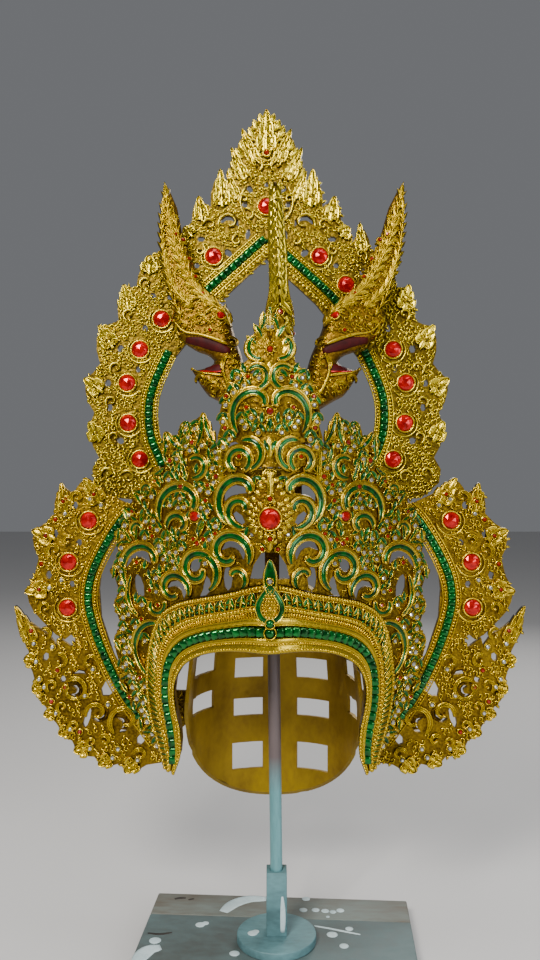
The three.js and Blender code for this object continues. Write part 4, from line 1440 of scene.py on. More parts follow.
# ---------------------------------------------------------------- wings
@dataclass
class Wings:
    """The pair of pierced flame wings beside the ears."""

    face: Face = Face(5.2)
    upper_start: Point = (150, 452)
    upper: tuple = ((183, 472, 194, 457), (206, 467, 213, 438), (234, 421, 229, 394), (241, 361, 226, 332))
    lower_start: Point = (232, 326)
    lower: tuple = (
        (251, 345, 241, 306), (238, 297, 235, 281), (233, 265, 225, 249), (221, 245, 212, 231),
        (208, 223, 196, 213), (193, 204, 174, 197), (169, 190, 150, 190), (143, 183, 122, 189),
    )
    stones: tuple = ((179, 431), (199, 390), (200, 345))
    chain: tuple = ((135, 442), (147, 431), (163, 406), (175, 381), (179.5, 361), (178, 340), (166, 303),
                    (146, 262), (122, 227), (112, 213))
    scrolls: tuple = (
        (192.5, 264.5, 11, 8.6, 40, 350), (171, 241, 11.5, 3, -20, 310), (143, 234, 17, 4, -50, 330),
        (178, 291, 9, 2, 200, -300), (213, 402, 8, 1.6, -60, 320), (222, 345, 7, 1.6, -60, 320),
        (190, 454, 8, 1.6, -60, 320), (222, 368, 6, 1.4, 60, -300), (200, 411, 6, 1.4, 160, -300),
        (207, 292, 8, 1.8, 60, 320), (215, 268, 7, 1.6, -60, 320), (222, 318, 7, 1.6, 60, 300),
        (193, 228, 7, 1.6, -80, 320), (128, 200, 7, 1.6, 0, 320), (176, 212, 6, 1.4, -80, 320),
        (205, 247, 6, 1.4, -60, 300), (163, 214, 6, 1.4, 20, 320),
    )
    # small stones, where True says a clear one and False a garnet
    small: tuple = (
        (236, 322, False), (226, 388, False), (202, 452, False), (215, 306, True), (212, 432, False),
        (206, 372, True), (178, 452, True), (210, 283, False), (202, 266, False), (160, 249, True),
        (183, 258, True), (188, 222, False), (175, 284, True), (228, 274, True), (216, 252, False),
        (150, 205, True),
    )

    def build(self, shop: Workshop) -> None:
        """Builds both wings' relief, stones and rows.

        Args:
            shop: the shared trees and shapes.
        """
        relief = Relief(self.face, Finish.GILT)
        plates = Footing("wing_left", "wing_right")
        keep: list[Disc] = []
        chains = [flipped(smooth(self.chain, 60), side) for side in (-1, 1)]
        for side, chain in zip((-1, 1), chains):
            feet = Flames(10.0, stone=Finish.GARNET, heart=(175, 370), wide=0.78).dress(
                relief, self.upper_start, self.upper, side)
            feet += Flames(7.5, heart=(165, 290)).dress(relief, self.lower_start, self.lower, side)
            keep += [(side * x, z, 5.0) for x, z in feet]
            for x, z, start, *curve in self.scrolls:
                line = flipped(spiral(x, z, start, *curve, 22), side)
                relief.scroll(line, 1.6 + 0.09 * start, 5.2, boss=2.0)
                keep.append((side * x, z, start + 2.5))
            keep += along(chain, 11.0)
            for x, z in feet:
                if plates.holds(side * x, z, 2.0):
                    relief.stone((side * x, z), Finish.CLEAR, 2.1, 2.4, 2.8, 8, (2.9, 0.8, 3.6, 12))
            for x, z, clear in self.small:
                finish = Finish.CLEAR if clear else Finish.GARNET
                relief.stone((side * x, z), finish, 2.2, 2.4, 1.6, 8, (3.0, 0.9, 3.2, 12))
                keep.append((side * x, z, 5.0))
            for x, z in self.stones:
                relief.stone((side * x, z), Finish.RUBY, 8.2, 4.8, 0.9, 12, (9.2, 1.3, 3.6, 20))
                arm = flipped(spiral(x, z, 15, 12.5, -170, 210, 18), side)
                relief.scroll(arm, 1.8, 3.0, Moulding.ROUND, boss=1.8)
                keep.append((side * x, z, 13.0))
        stones = [f"wing_stone_{s}_{i}" for i in (1, 2, 3) for s in ("left", "right")]
        relief.build("wing_relief", *stones)
        names = [f"wing_chain_{part}_{s}" for part in ("high", "low") for s in ("left", "right")]
        shop.chain("wing", self.face, chains, (3.2, 3.8), 6.1, (1.5, 3.2, 6.3), Finish.GILT, *names)
        rails = [offset(p, over) for p in chains for over in (-4.5, 4.5, -8.7, 8.7)]
        shop.rails("wing_rails", self.face, rails, 0.75, 0.9, Finish.GILT)
        spots = fill_spots(plates, self.face, (-250, 184, 250, 470), 6.4, keep, outward(250), 9, 2.2,
                           (1.05, 1.4))
        shop.curls("wing_curls", self.face, spots, Finish.GILT)


# ---------------------------------------------------------------- tiara wall
# how far from the middle the flat facets of the solids meet
FACETS = np.array([0, 15, 34, 62, 104, 170], float)


def soften(work: bmesh.types.BMesh, crease: float) -> None:
    """Leaves only the edges sharp that bend by more than so many degrees."""
    for edge in work.edges:
        edge.smooth = len(edge.link_faces) == 2 and edge.calc_face_angle() < math.radians(crease)


def smooth_copy(node: str, name: str, finish: Finish, face: Face | None = None,
                crease: float = 35.0) -> bpy.types.Object:
    """A merged copy of a CAD node, bent to the smooth face if one is given.

    Args:
        node: the CAD node.
        name: the copy's name.
        finish: its finish.
        face: the smooth face that replaces the flat facets, which meet at the places in FACETS.
        crease: edges sharper than this many degrees stay sharp.

    Returns:
        The copy, in the scene but not yet handed to the frame.
    """
    work = bmesh.new()
    work.from_mesh(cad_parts[node].data)
    bmesh.ops.remove_doubles(work, verts=work.verts, dist=1e-6)
    if face:
        for x in np.arange(-156, 157, 6.0):
            cut(work, (x * MM, 0, 0), (1, 0, 0))
        for v in work.verts:
            x, z = v.co.x / MM, v.co.z / MM
            facets = np.interp(abs(x), FACETS, face.back(FACETS))
            v.co.y += face.slope_at(z) * (face.back(x) - facets) * MM
    bmesh.ops.recalc_face_normals(work, faces=work.faces)
    soften(work, crease)
    for f in work.faces:
        f.smooth = True
    mesh = bpy.data.meshes.new(name)
    work.to_mesh(mesh)
    work.free()
    mesh.materials.clear()
    mesh.materials.append(material(finish))
    mesh.polygons.foreach_set("material_index", [0] * len(mesh.polygons))
    return link_new(name, mesh)


def cut(work: bmesh.types.BMesh, place: Sequence[float], across: Sequence[float]) -> None:
    """Splits every face that a plane crosses.

    Args:
        work: the mesh.
        place: a point of the plane.
        across: the plane's normal.
    """
    bmesh.ops.bisect_plane(work, geom=work.verts[:] + work.edges[:] + work.faces[:], plane_co=place,
                           plane_no=across)


@dataclass
class Tiara:
    """The pierced wall over the brow, with its enamel scrolls."""

    face: Face = Face(-112.0, 0.85)
    # enamel scrolls: x, z, radius at the start and end, bearing, turn, half width
    scrolls: tuple = (
        (21.7, 458.4, 29.5, 4.3, -58, 209, 3.3), (25.1, 445.3, 15.7, 2.5, -103, 300, 2.7),
        (36.3, 407.5, 19.6, 5.5, -154, -345, 3.3), (30.9, 386.7, 11.6, 2.0, -120, -216, 2.2),
        (65.5, 390, 20.4, 4.0, -124, -430, 3.2), (89, 370.9, 15.6, 6.0, -159, -326, 2.8),
        (78.8, 446.9, 27.3, 8.1, -31, 228, 3.3), (84.5, 430, 11.5, 3.5, -20, 270, 2.6),
        (115.5, 390.9, 33.4, 6.5, -50, 209, 3.2), (107.5, 345.1, 42.8, 20, 52, -60, 2.6),
        (108, 354, 4.0, 10.5, 31, -235, 2.2), (101.9, 318.8, 18.2, 34.9, 76, -141, 2.8),
        (68, 484, 11, 6.5, -75, -235, 2.2), (127, 424, 7.0, 4.0, -70, 250, 1.9),
        (117, 462, 5.5, 3.0, -60, 260, 1.7),
    )
    # straight enamel strokes: from and to, half width
    strokes: tuple = ((143.6, 428, 133.4, 412, 1.9), (126, 430, 135.5, 436, 1.9), (127, 429, 128, 412, 1.8),
                      (64, 424, 60, 434, 2.4), (54, 411, 51, 422, 2.4), (84, 388, 95, 408, 2.4),
                      (96, 408, 95.5, 426, 2.4), (62, 503, 70, 521, 2.2), (71, 521, 79, 498, 2.2),
                      (86, 508, 80, 498, 1.9), (81, 490, 75, 472, 2.2), (55, 500, 52, 486, 2.0),
                      (100, 500, 92, 482, 2.1), (88, 494, 86, 480, 2.0), (104, 480, 99, 468, 1.9))
    clear: tuple = ((48, 430), (56, 443), (55, 460), (119, 416), (104, 409), (94, 471), (81, 408), (148, 386),
                    (107, 379), (122, 352), (137, 341), (129, 330), (106, 424), (63, 462), (112, 455))
    garnets: tuple = ((82, 465), (133, 441), (48, 474), (66, 414), (108, 470), (71, 505), (128, 392),
                      (93, 489))
    # the row of small stones down the outer edge
    fringe: tuple = ((137, 437), (144, 418), (145, 398), (145, 376), (143, 352), (143, 328), (142, 306),
                     (137, 284), (128, 262), (116, 241), (106, 222))
    edge_start: Point = (42, 492)
    edge: tuple = (
        (60, 530, 73, 516), (80, 523, 85, 512), (97, 515, 97, 486), (108, 471, 113, 462),
        (131, 460, 133, 450), (142, 444, 141, 430), (149, 410, 148, 399), (152, 389, 149, 366),
        (150, 351, 147, 333), (151, 316, 149, 296), (143, 280, 134, 255), (118, 236, 105, 216),
    )

    def build(self, shop: Workshop) -> None:
        """Builds the wall's ground and its ornament.

        Args:
            shop: the shared trees and shapes.
        """
        settle(smooth_copy("tiara_wall", "wall_ground", Finish.WALL_GROUND, self.face), "tiara_wall")
        relief = Relief(self.face, Finish.GILT)
        keep: list[Disc] = []
        for side in (-1, 1):
            keep += enamel_scrolls(relief, self.scrolls, side, 3.0)
            for ax, az, bx, bz, half in self.strokes:
                line = flipped(bowed((ax, az), (bx, bz), 0.12, 7), side)
                relief.sweep(line, half * swell(0.12, 0.88, 7), 3.0, Moulding.CLOISON, band=Finish.ENAMEL)
            for x, z in self.clear:
                cluster(relief, side * x, z)
                keep.append((side * x, z, 4.0))
            for x, z in resample(smooth(self.fringe, 60), 21):
                cluster(relief, side * x, z, 2.4)
                keep.append((side * x, z, 5.0))
            relief.stone((side * 68.5, 438.4), Finish.RUBY, 4.6, 3.6, 1.4, 8, (5.6, 0.9, 3.4, 14))
            for x, z in self.garnets:
                rosette(relief, side * x, z, 2.3)
                keep.append((side * x, z, 5.0))
            feet = Flames(5.5, 3.4, Finish.ENAMEL).dress(relief, self.edge_start, self.edge, side)
            keep += [(side * x, z, 4.0) for x, z in feet]
            pillar = flipped(np.array([(43.0, 470.0), (43.5, 500.0)]), side)
            relief.sweep(resample(pillar, 6), 2.6, 4.2, Moulding.FLUTED)
        relief.build("wall_relief")
        wall, box = Footing("tiara_wall"), (0, 225, 152, 520)
        spots = fill_spots(wall, self.face, box, 8.2, keep, upward, 3, 1.6)
        keep += fill_stones("wall_fill", self.face, self._in_view(spots), 21)
        spots = fill_spots(wall, self.face, (-152, 225, 152, 520), 6.4, keep, upward, 4, 2.4, (0.6, 0.85))
        shop.curls("wall_curls", self.face, self._in_view(spots), Finish.GILT)

    @staticmethod
    def _in_view(spots: Sequence[Spot]) -> list[Spot]:
        """The spots outside the arch that the brow band covers, from its foot up to its top."""
        return [s for s in spots if abs(s[0]) >= 117 or s[1] >= 383 - 36 * (abs(s[0]) / 104) ** 2.2]


def enamelled(relief: Relief, line: np.ndarray, half: float) -> None:
    """An enamel scroll between gold rims, with a gold flank on each side and a boss at its inner end.

    Args:
        relief: where it goes.
        line: the scroll's line, from its outer end.
        half: half its width.
    """
    t = np.linspace(0, 1, len(line))
    width = half * 0.94 * (0.84 + 0.16 * np.sin(np.pi * np.minimum(t * 1.6, 1))) * np.minimum(1, 0.4 + t * 7)
    away = line - line.mean(0)
    away /= np.maximum(np.linalg.norm(away, axis=1, keepdims=True), 1e-6)
    flank = half * 0.8 * np.sin(np.pi * np.clip(t * 0.9 + 0.05, 0, 1)) ** 0.6
    relief.sweep(line + away * (width + flank * 0.6)[:, None], flank, 3.3, Moulding.ROUND)
    relief.sweep(line - away * (width + flank * 0.3)[:, None], flank * 0.5, 3.0, Moulding.ROUND)
    relief.sweep(line, width, 3.9, Moulding.CLOISON, band=Finish.ENAMEL)
    relief.bead(line[-1], half * 0.7, 4.1)


def enamel_scrolls(relief: Relief, rows: Sequence[tuple], side: int, margin: float) -> list[Disc]:
    """Enamel scrolls on one side of the middle.

    Args:
        relief: where they go.
        rows: x, z, radius at the start and end, bearing, turn and half width of each.
        side: 1 for the right, -1 to mirror them to the left.
        margin: how far their keep-off discs reach past their edges.

    Returns:
        Their keep-off discs.
    """
    keep = []
    for *curve, turn, half in rows:
        line = flipped(spiral(*curve, turn, max(14, int(abs(turn) / 11))), side)
        enamelled(relief, line, half)
        keep += along(line, half + margin, 3.0)
    return keep


def tilted(x: float, z: float, angle: float) -> Callable[[float, float], Point]:
    """The function that turns places drawn about the origin by an angle and moves them to x, z."""
    c, s = math.cos(angle), math.sin(angle)
    return lambda u, v: (x + u * c - v * s, z + u * s + v * c)


def cluster(relief: Relief, x: float, z: float, radius: float = 2.2, angle: float = 0.0) -> None:
    """A clear stone in a collar under a green chevron.

    Args:
        relief: where it goes.
        x: where.
        z: how high.
        radius: the stone's radius.
        angle: how far the chevron is turned about the stone, in radians.
    """
    put = tilted(x, z, angle)
    relief.stone((x, z), Finish.CLEAR, radius, 2.6, 1.6, 8, (radius + 0.8, 0.75, 3.2, 9))
    for hand in (-1, 1):
        line = bowed(put(0, 7.8), put(hand * 5.2, 1.2), 0.14 * hand, 6)
        relief.sweep(line, 2.2 * swell(0.2, 0.85, 6), 3.4, Moulding.CELL, band=Finish.ENAMEL)


def sprig(relief: Relief, x: float, z: float, angle: float) -> None:
    """A green leaf in a gold rim with a gold leaf on either side.

    Args:
        relief: where it goes.
        x: where.
        z: how high.
        angle: how far it is turned, in radians.
    """
    put = tilted(x, z, angle)
    line = bowed(put(0, -4.4), put(0.6, 4.8), 0.12, 7)
    relief.sweep(line, 2.5 * swell(0.1, 0.92, 7), 3.6, Moulding.CELL, band=Finish.ENAMEL)
    for hand in (-1, 1):
        relief.leaf(put(hand * 1.4, -4.0), put(hand * 4.6, 2.6), 3.0, 2.8, bow=0.1 * hand)


def fill_stones(name: str, face: Face, spots: Sequence[Spot],
                seed: int) -> list[Disc]:
    """Clear stones, green leaves and garnets between the scrolls, the same on both sides.

    Args:
        name: the piece's name.
        face: the face they lie on.
        spots: x, z, turn and size on the right side, as fill_spots gives them.
        seed: seed of the choice among them.

    Returns:
        Keep-off discs about them.
    """
    dice = random.Random(seed)
    relief = Relief(face, Finish.GILT)
    keep = []
    for x, z, _, _ in spots:
        kind, angle = dice.random(), dice.uniform(-0.7, 0.35)
        if kind > 0.84:
            continue
        for side in (-1, 1):
            if kind < 0.36:
                cluster(relief, side * x, z, 2.0, side * angle)
            elif kind < 0.72:
                sprig(relief, side * x, z, side * angle)
            else:
                relief.stone((side * x, z), Finish.GARNET, 1.9, 2.4, 1.6, 8, (2.7, 0.8, 3.2, 9))
            keep.append((side * x, z, 4.2))
    relief.build(name)
    return keep


def rosette(relief: Relief, x: float, z: float, radius: float, petals: int = 6) -> None:
    """A garnet in a collar with gold petals round it.

    Args:
        relief: where it goes.
        x: where.
        z: how high.
        radius: the garnet's radius.
        petals: how many petals.
    """
    relief.stone((x, z), Finish.GARNET, radius, 2.6, 1.8, 8, (radius + 0.8, 0.8, 3.4, 12))
    for turn in (np.arange(petals) + 0.5) / petals:
        relief.leaf(polar(z, radius + 0.6, turn, x), polar(z, radius + 4.2, turn, x), 3.0, 2.0)


# ---------------------------------------------------------------- brow band
@dataclass
class BrowBand:
    """The moulded band that frames the face, with its green stones, petals and drop."""

    face: Face = Face(-118.0, 0.85)
    thick: float = 5.7
    inner: tuple = ((0, 323), (22, 323.5), (44, 320.5), (63, 314), (78, 303), (86, 289), (88, 275), (86, 260),
                    (82, 245), (81, 231), (82, 219), (88, 203))
    outer: tuple = ((0, 383), (14, 381), (38, 373), (65, 366), (86, 359), (103, 345), (112, 320), (116, 283),
                    (112, 252), (106, 233), (101, 218), (97, 206))
    # the body's section: share across on top, share on the legs, rise
    section: tuple = ((0, 0, 0), (0.02, 0.02, 2.2), (0.07, 0.07, 2.6), (0.12, 0.11, 1.4), (0.17, 0.15, 1.6),
                      (0.205, 0.19, 2.6), (0.23, 0.22, 0.4), (0.405, 0.42, 0.4), (0.43, 0.44, 2.2),
                      (0.5, 0.5, 2.5), (0.52, 0.52, 1.0), (0.6, 0.56, 1.0), (0.64, 0.6, 1.6),
                      (0.68, 0.66, 0.7), (0.91, 0.97, 0.7), (0.95, 0.985, 1.6), (1, 1, 0))

    def path(self, top: float, leg: float, count: int = 120, reach: float = 1.0) -> np.ndarray:
        """The line at a share across the band, from the left foot over the brow to the right foot.

        Args:
            top: share across on top.
            leg: share across on the legs.
            count: points.
            reach: share of each leg that it runs down.

        Returns:
            The line's points.
        """
        t = np.linspace(-reach, reach, count)
        rows = []
        for rim in (self.inner, self.outer):
            fine = smooth_by_row(rim, 221)
            at = np.abs(t) * (len(fine) - 1)
            rows.append(np.stack([np.interp(at, np.arange(len(fine)), fine[:, k]) for k in (0, 1)], 1))
        share = (top + (leg - top) * smoothstep(np.abs(t), 0.35, 0.62))[:, None]
        line = rows[0] * (1 - share) + rows[1] * share
        line[:, 0] *= np.sign(t)
        return line

    def body(self) -> bpy.types.Object:
        """The moulded band as one closed body.

        Returns:
            The body, in the scene but not yet handed to the frame.
        """
        count, top = 150, max(rise for _, _, rise in self.section)
        lines = [(self.path(across, leg, count), rise) for across, leg, rise in self.section]
        lines += [(lines[-1][0], -self.thick), (lines[0][0], -self.thick)]
        points = np.stack([lifted(self.face, line[:, 0], line[:, 1], rise) for line, rise in lines], 1)
        quads, ends = tube(count, len(lines))
        mesh = bpy.data.meshes.new("brow_band_body")
        mesh.from_pydata((points.reshape(-1, 3) * MM).tolist(), [], quads.tolist() + ends)
        # crest from each line's rise: the gilding paints shade into the band's grooves and a highlight onto
        # its ridges
        spread(mesh, "crest", np.tile([(max(rise, 0) / top) ** 1.6 for _, rise in lines], count))
        mesh.materials.append(material(Finish.GILT))
        shade_smooth(mesh)
        return link_new("brow_band_body", mesh)

    def build(self, shop: Workshop) -> None:
        """Builds the band, its rows and its drop.

        Args:
            shop: the shared trees and shapes.
        """
        settle(self.body(), "brow_band")
        chain = self.path(0.315, 0.32, 220, 0.93)
        names = [f"brow_chain_{part}_{s}" for part in ("top", "leg") for s in ("left", "right")]
        halves = [chain[chain[:, 0] < -6.5], chain[chain[:, 0] > 6.5]]
        shop.stones("brow_green_stones", self.face, halves, (4.1, 4.2), 7.9, 1.0, *names)
        for name, share, radius, pitch, lift in (
            ("inner", (0.045, 0.045), 1.5, 3.0, 1.8), ("grain", (0.14, 0.13), 1.1, 2.4, 1.2),
            ("rope", (0.64, 0.61), 2.3, 3.9, 0.8), ("outer", (0.95, 0.985), 2.0, 3.3, 0.6),
        ):
            row = [self.path(*share, 240)]
            shop.beads(f"brow_beads_{name}", self.face, row, radius, pitch, lift, Finish.GILT)
        shop.petals("brow_ribs", self.face, [self.path(0.56, 0.54, 240)], (2.0, 5.4), 2.7, 0.9, Finish.GILT)
        rails = [self.path(*share, 160) for share in ((0.215, 0.2), (0.415, 0.43), (0.45, 0.46), (0.51, 0.5),
                                                      (0.69, 0.67), (0.905, 0.965))]
        shop.rails("brow_rails", self.face, rails, 0.8, 1.5, Finish.GILT)
        self.florets()
        self.drop()

    def florets(self) -> None:
        """The row of green and gold florets on top and of green and gold bars down the legs."""
        relief = Relief(self.face, Finish.GILT)
        low, high = self.path(0.7, 0.69, 600), self.path(0.9, 0.955, 600)
        run = np.r_[0, np.cumsum(np.linalg.norm(np.diff((low + high) / 2, axis=0), axis=1))]
        share = np.abs(np.linspace(-1, 1, 600))
        at = 3.0
        while at < run[-1] - 3:
            i = int(np.searchsorted(run, at))
            a, b = low[i], high[i]
            up = (b - a) / np.linalg.norm(b - a)
            tall, way = float(np.linalg.norm(b - a)), np.array([up[1], -up[0]])
            if share[i] > 0.5:
                relief.sweep(np.linspace(a, b, 4), 1.25, 3.4, Moulding.CLOISON, band=Finish.ENAMEL)
                relief.sweep(np.linspace(a + way * 2.5, b + way * 2.5, 4), 0.95, 3.6)
                at += 5.0
                continue
            if abs(a[0]) > 8:
                relief.leaf(tuple(a), tuple(a + up * tall * 0.95), 4.4, 4.0, lift=0.5)
                for hand in (-1, 1):
                    stroke = bowed(tuple(a + up * tall * 0.98 + way * hand * 0.4),
                                   tuple(a + up * tall * 0.38 + way * hand * 3.9), 0.16 * -hand, 6)
                    relief.sweep(stroke, 1.9 * swell(0.16, 0.86, 6), 3.6, Moulding.CLOISON,
                                 band=Finish.ENAMEL)
                    relief.stone(a + up * 2.0 + way * hand * 2.6, Finish.EMERALD, 1.5, 2.2, 1.4, 7)
                relief.sweep(np.linspace(a + way * 4.9, b + way * 4.9, 4), 0.8, 3.2)
            at += 9.8 if share[i] < 0.36 else 6.6
        relief.build("brow_petals")

    def drop(self) -> None:
        """The teardrop and green leaf at the middle of the brow."""
        drop = Relief(Face(-125.0, 0.85), Finish.GILT)
        half = smooth(((0, 381), (5, 375), (9.6, 367), (9.8, 360.5), (6.4, 354.6), (0, 352)), 16)
        ring = closed(half)
        drop.sweep(ring, 2.7, 3.4, Moulding.CLOISON, band=Finish.ENAMEL, sunk=4)
        drop.sweep(smooth(((0, 353), (0, 364), (0, 378)), 14), 8.6 * swell(0.1, 0.93, 14, 0.7),
                   1.5, Moulding.ROUND, sunk=4)
        for z in np.arange(356, 376, 2.6):
            reach = 7.4 * math.sin(math.pi * (z - 350) / 31) - 1.0
            for x in np.arange(-reach, reach + 0.1, 2.5):
                drop.bead((x, z), 1.2, 1.8, lift=1.4, sides=6)
        drop.bead((0, 363), 2.6, 3.2, lift=1.4)
        drop.sweep(smooth(((0, 375), (0, 388), (0, 404)), 14), 6.4 * swell(0.1, 0.97, 14, 0.8), 3.6,
                   Moulding.CLOISON, band=Finish.ENAMEL, sunk=4)
        drop.stone((0, 386), Finish.CLEAR, 2.3, 2.6, 3.0, 8, (3.0, 0.7, 5.0, 12))
        drop.stone((0, 350.5), Finish.EMERALD, 3.6, 3.0, 1.6, 8, (4.3, 0.8, 3.4, 14))
        drop.stone((0, 341.5), Finish.EMERALD, 4.4, 3.4, -5.5, 10, (5.3, 0.8, 3.4, 14, -6.0))
        drop.build("brow_drop_relief", "brow_drop", "brow_gem")


def smooth_by_row(rows: Sequence[Point], count: int) -> np.ndarray:
    """A smooth path that runs evenly from row to row, as the band's rims need.

    Args:
        rows: the points it passes through, from the middle of the brow to the foot.
        count: how many points to return.

    Returns:
        The path's points.
    """
    p = np.array(rows, float)
    p = np.vstack([p[1] * [-1, 1], p, 2 * p[-1] - p[-2]])
    at = np.linspace(0, len(rows) - 1, count)
    first = np.minimum(at.astype(int), len(rows) - 2)
    return np.array([between(value - i, *p[i : i + 4]) for value, i in zip(at, first)])


# ---------------------------------------------------------------- spire and medallion
@dataclass
class Spire:
    """The leaf-shaped spire over the wall, with the medallion at its foot."""

    face: Face = Face(-117.3, 0.85, 0.35)
    edge: tuple = ((20, 588), (28, 565), (36, 555), (44, 527), (46, 508), (43, 490))
    scrolls: tuple = ((8.5, 583, 10, 9.0, 65, -165, 2.2), (12.5, 560, 11.5, 6.5, 264, -225, 2.3),
                      (8.5, 533, 28.9, 2.5, -48, 205, 2.9), (21, 495, 10, 15, 73, 181, 2.5),
                      (27, 488, 8.5, 9.5, -70, 310, 2.5))
    strokes: tuple = ((8, 598, 4.5, 612, 2.0), (7, 592, 13, 602, 2.0), (12, 586, 19, 592, 2.0))
    clear: tuple = ((22, 551), (31, 545), (38, 535), (40.5, 521), (35, 506), (10, 511), (24, 521))
    # the medallion's outline, right half from top to foot
    drop: tuple = ((0, 478), (7, 469), (11.5, 459), (17.5, 450), (19.3, 438), (15.6, 428), (8, 420.5),
                   (0, 412.5))

    def build(self, shop: Workshop) -> None:
        """Builds the spire and the medallion.

        Args:
            shop: the shared trees and shapes.
        """
        settle(smooth_copy("spire", "spire_ground", Finish.WALL_GROUND, self.face), "spire")
        relief = Relief(self.face, Finish.GILT)
        keep: list[Disc] = []
        for side in (-1, 1):
            keep += enamel_scrolls(relief, self.scrolls, side, 2.5)
            for ax, az, bx, bz, half in self.strokes:
                line = flipped(bowed((ax, az), (bx, bz), 0.15, 7), side)
                relief.sweep(line, half * swell(0.12, 0.88, 7), 3.2, Moulding.CLOISON,
                             band=Finish.ENAMEL)
                relief.leaf((side * (ax - 2), az - 2), (side * (bx + 1), bz + 2), 6, 2.4, bow=0.1)
            for x, z in self.clear:
                cluster(relief, side * x, z, 2.0)
                keep.append((side * x, z, 4.5))
            for x, z in self.edge:
                relief.leaf((side * (x - 9), z - 12), (side * x, z), 7, 2.8, bow=0.15 * side)
        for z, radius in ((581.7, 2.6), (529, 3.0)):
            rosette(relief, 0, z, radius, 8)
            keep.append((0, z, 7))
        for hand in (-1, 1):
            relief.sweep(bowed((hand * 3.2, 598), (0, 617), 0.2 * hand, 8), 1.3, 3.0, Moulding.CLOISON,
                         band=Finish.ENAMEL)
        relief.leaf((0, 596), (0, 614), 6.5, 3.2, lift=0.6)
        relief.leaf((0, 524), (0, 513), 8.5, 3.2)
        relief.sweep(bowed((0, 523), (0, 514.5), 0.0, 6), 2.8 * swell(0.2, 0.9, 6), 4.0,
                     Moulding.STROKE, band=Finish.EMERALD)
        relief.leaf((0, 552), (0, 572), 11, 3.0, lobes=2)
        relief.leaf((0, 490), (0, 508), 10, 3.2, lobes=2)
        relief.build("spire_relief")
        body = Footing("spire")
        spots = fill_spots(body, self.face, (3, 484, 46, 600), 9.5, keep, upward, 4, 1.6)
        keep += fill_stones("spire_fill", self.face, spots, 6)
        spots = fill_spots(body, self.face, (-46, 484, 46, 600), 6.0, keep, upward, 4, 2.2, (0.5, 0.7))
        shop.curls("spire_curls", self.face, spots, Finish.GILT)
        self.medallion()

    def medallion(self) -> None:
        """The granular drop with the large red stone."""
        face, (middle, low, high) = Face(-116.3, 0.85), (438.0, 412, 476)
        settle(smooth_copy("medallion", "medallion_ground", Finish.GROUND, face), "medallion")
        gold = Relief(face, Finish.GILT)
        gold.stone((0, middle), Finish.RUBY, 8.9, 5.2, 1.4, 12, (9.9, 1.3, 4.2, 22))
        rim = closed(smooth(self.drop, 26))
        for a, b in zip(rim[:-1:2], rim[2::2]):
            way = (b - a) / max(math.hypot(*(b - a)), 1e-6)
            spot, lean = (a + b) / 2, np.array([-way[1], way[0]])
            gold.leaf(spot - lean * 3.6, spot + lean * 2.2 + [0, 1.6], 4.6, 3.2)
        for q in range(20):
            gold.bead(polar(middle, 12.0, q / 20), 1.35, 2.6)
        for q in range(16):
            gold.leaf(polar(middle, 12.5, (q + 0.5) / 16), polar(middle, 17.4, (q + 0.5) / 16), 5.2, 2.8)
        dice = random.Random(8)
        for _ in range(230):
            x, up = dice.uniform(-18, 18), dice.uniform(low, high)
            reach = np.interp(up, (low, 428, middle, 450, 459, high), (0, 13.5, 17, 15.5, 9.5, 2)) - 1
            if abs(x) < reach and math.hypot(x, up - middle) > 14:
                gold.bead((x, up), dice.uniform(0.8, 1.25), dice.uniform(1.8, 2.8), sides=6)
        gold.leaf((0, middle + 15), (0, 480), 7.5, 3.8, lobes=3, lift=0.6)
        gold.leaf((0, middle - 14), (0, 410), 7, 3.6, lobes=2, lift=0.4)
        for spot in ((0, middle + 17), (0, middle - 17)):
            gold.stone(spot, Finish.GARNET, 2.1, 2.4, 4.2, 8, (2.9, 0.8, 2.4, 12, 3.2))
        gold.build("medallion_relief", "medallion_stone")


def polar(z: float, radius: float, turn: float, x: float = 0.0) -> Point:
    """The place at a radius from x, z and a share of a turn from +X towards +Z."""
    return x + radius * math.cos(2 * math.pi * turn), z + radius * math.sin(2 * math.pi * turn)


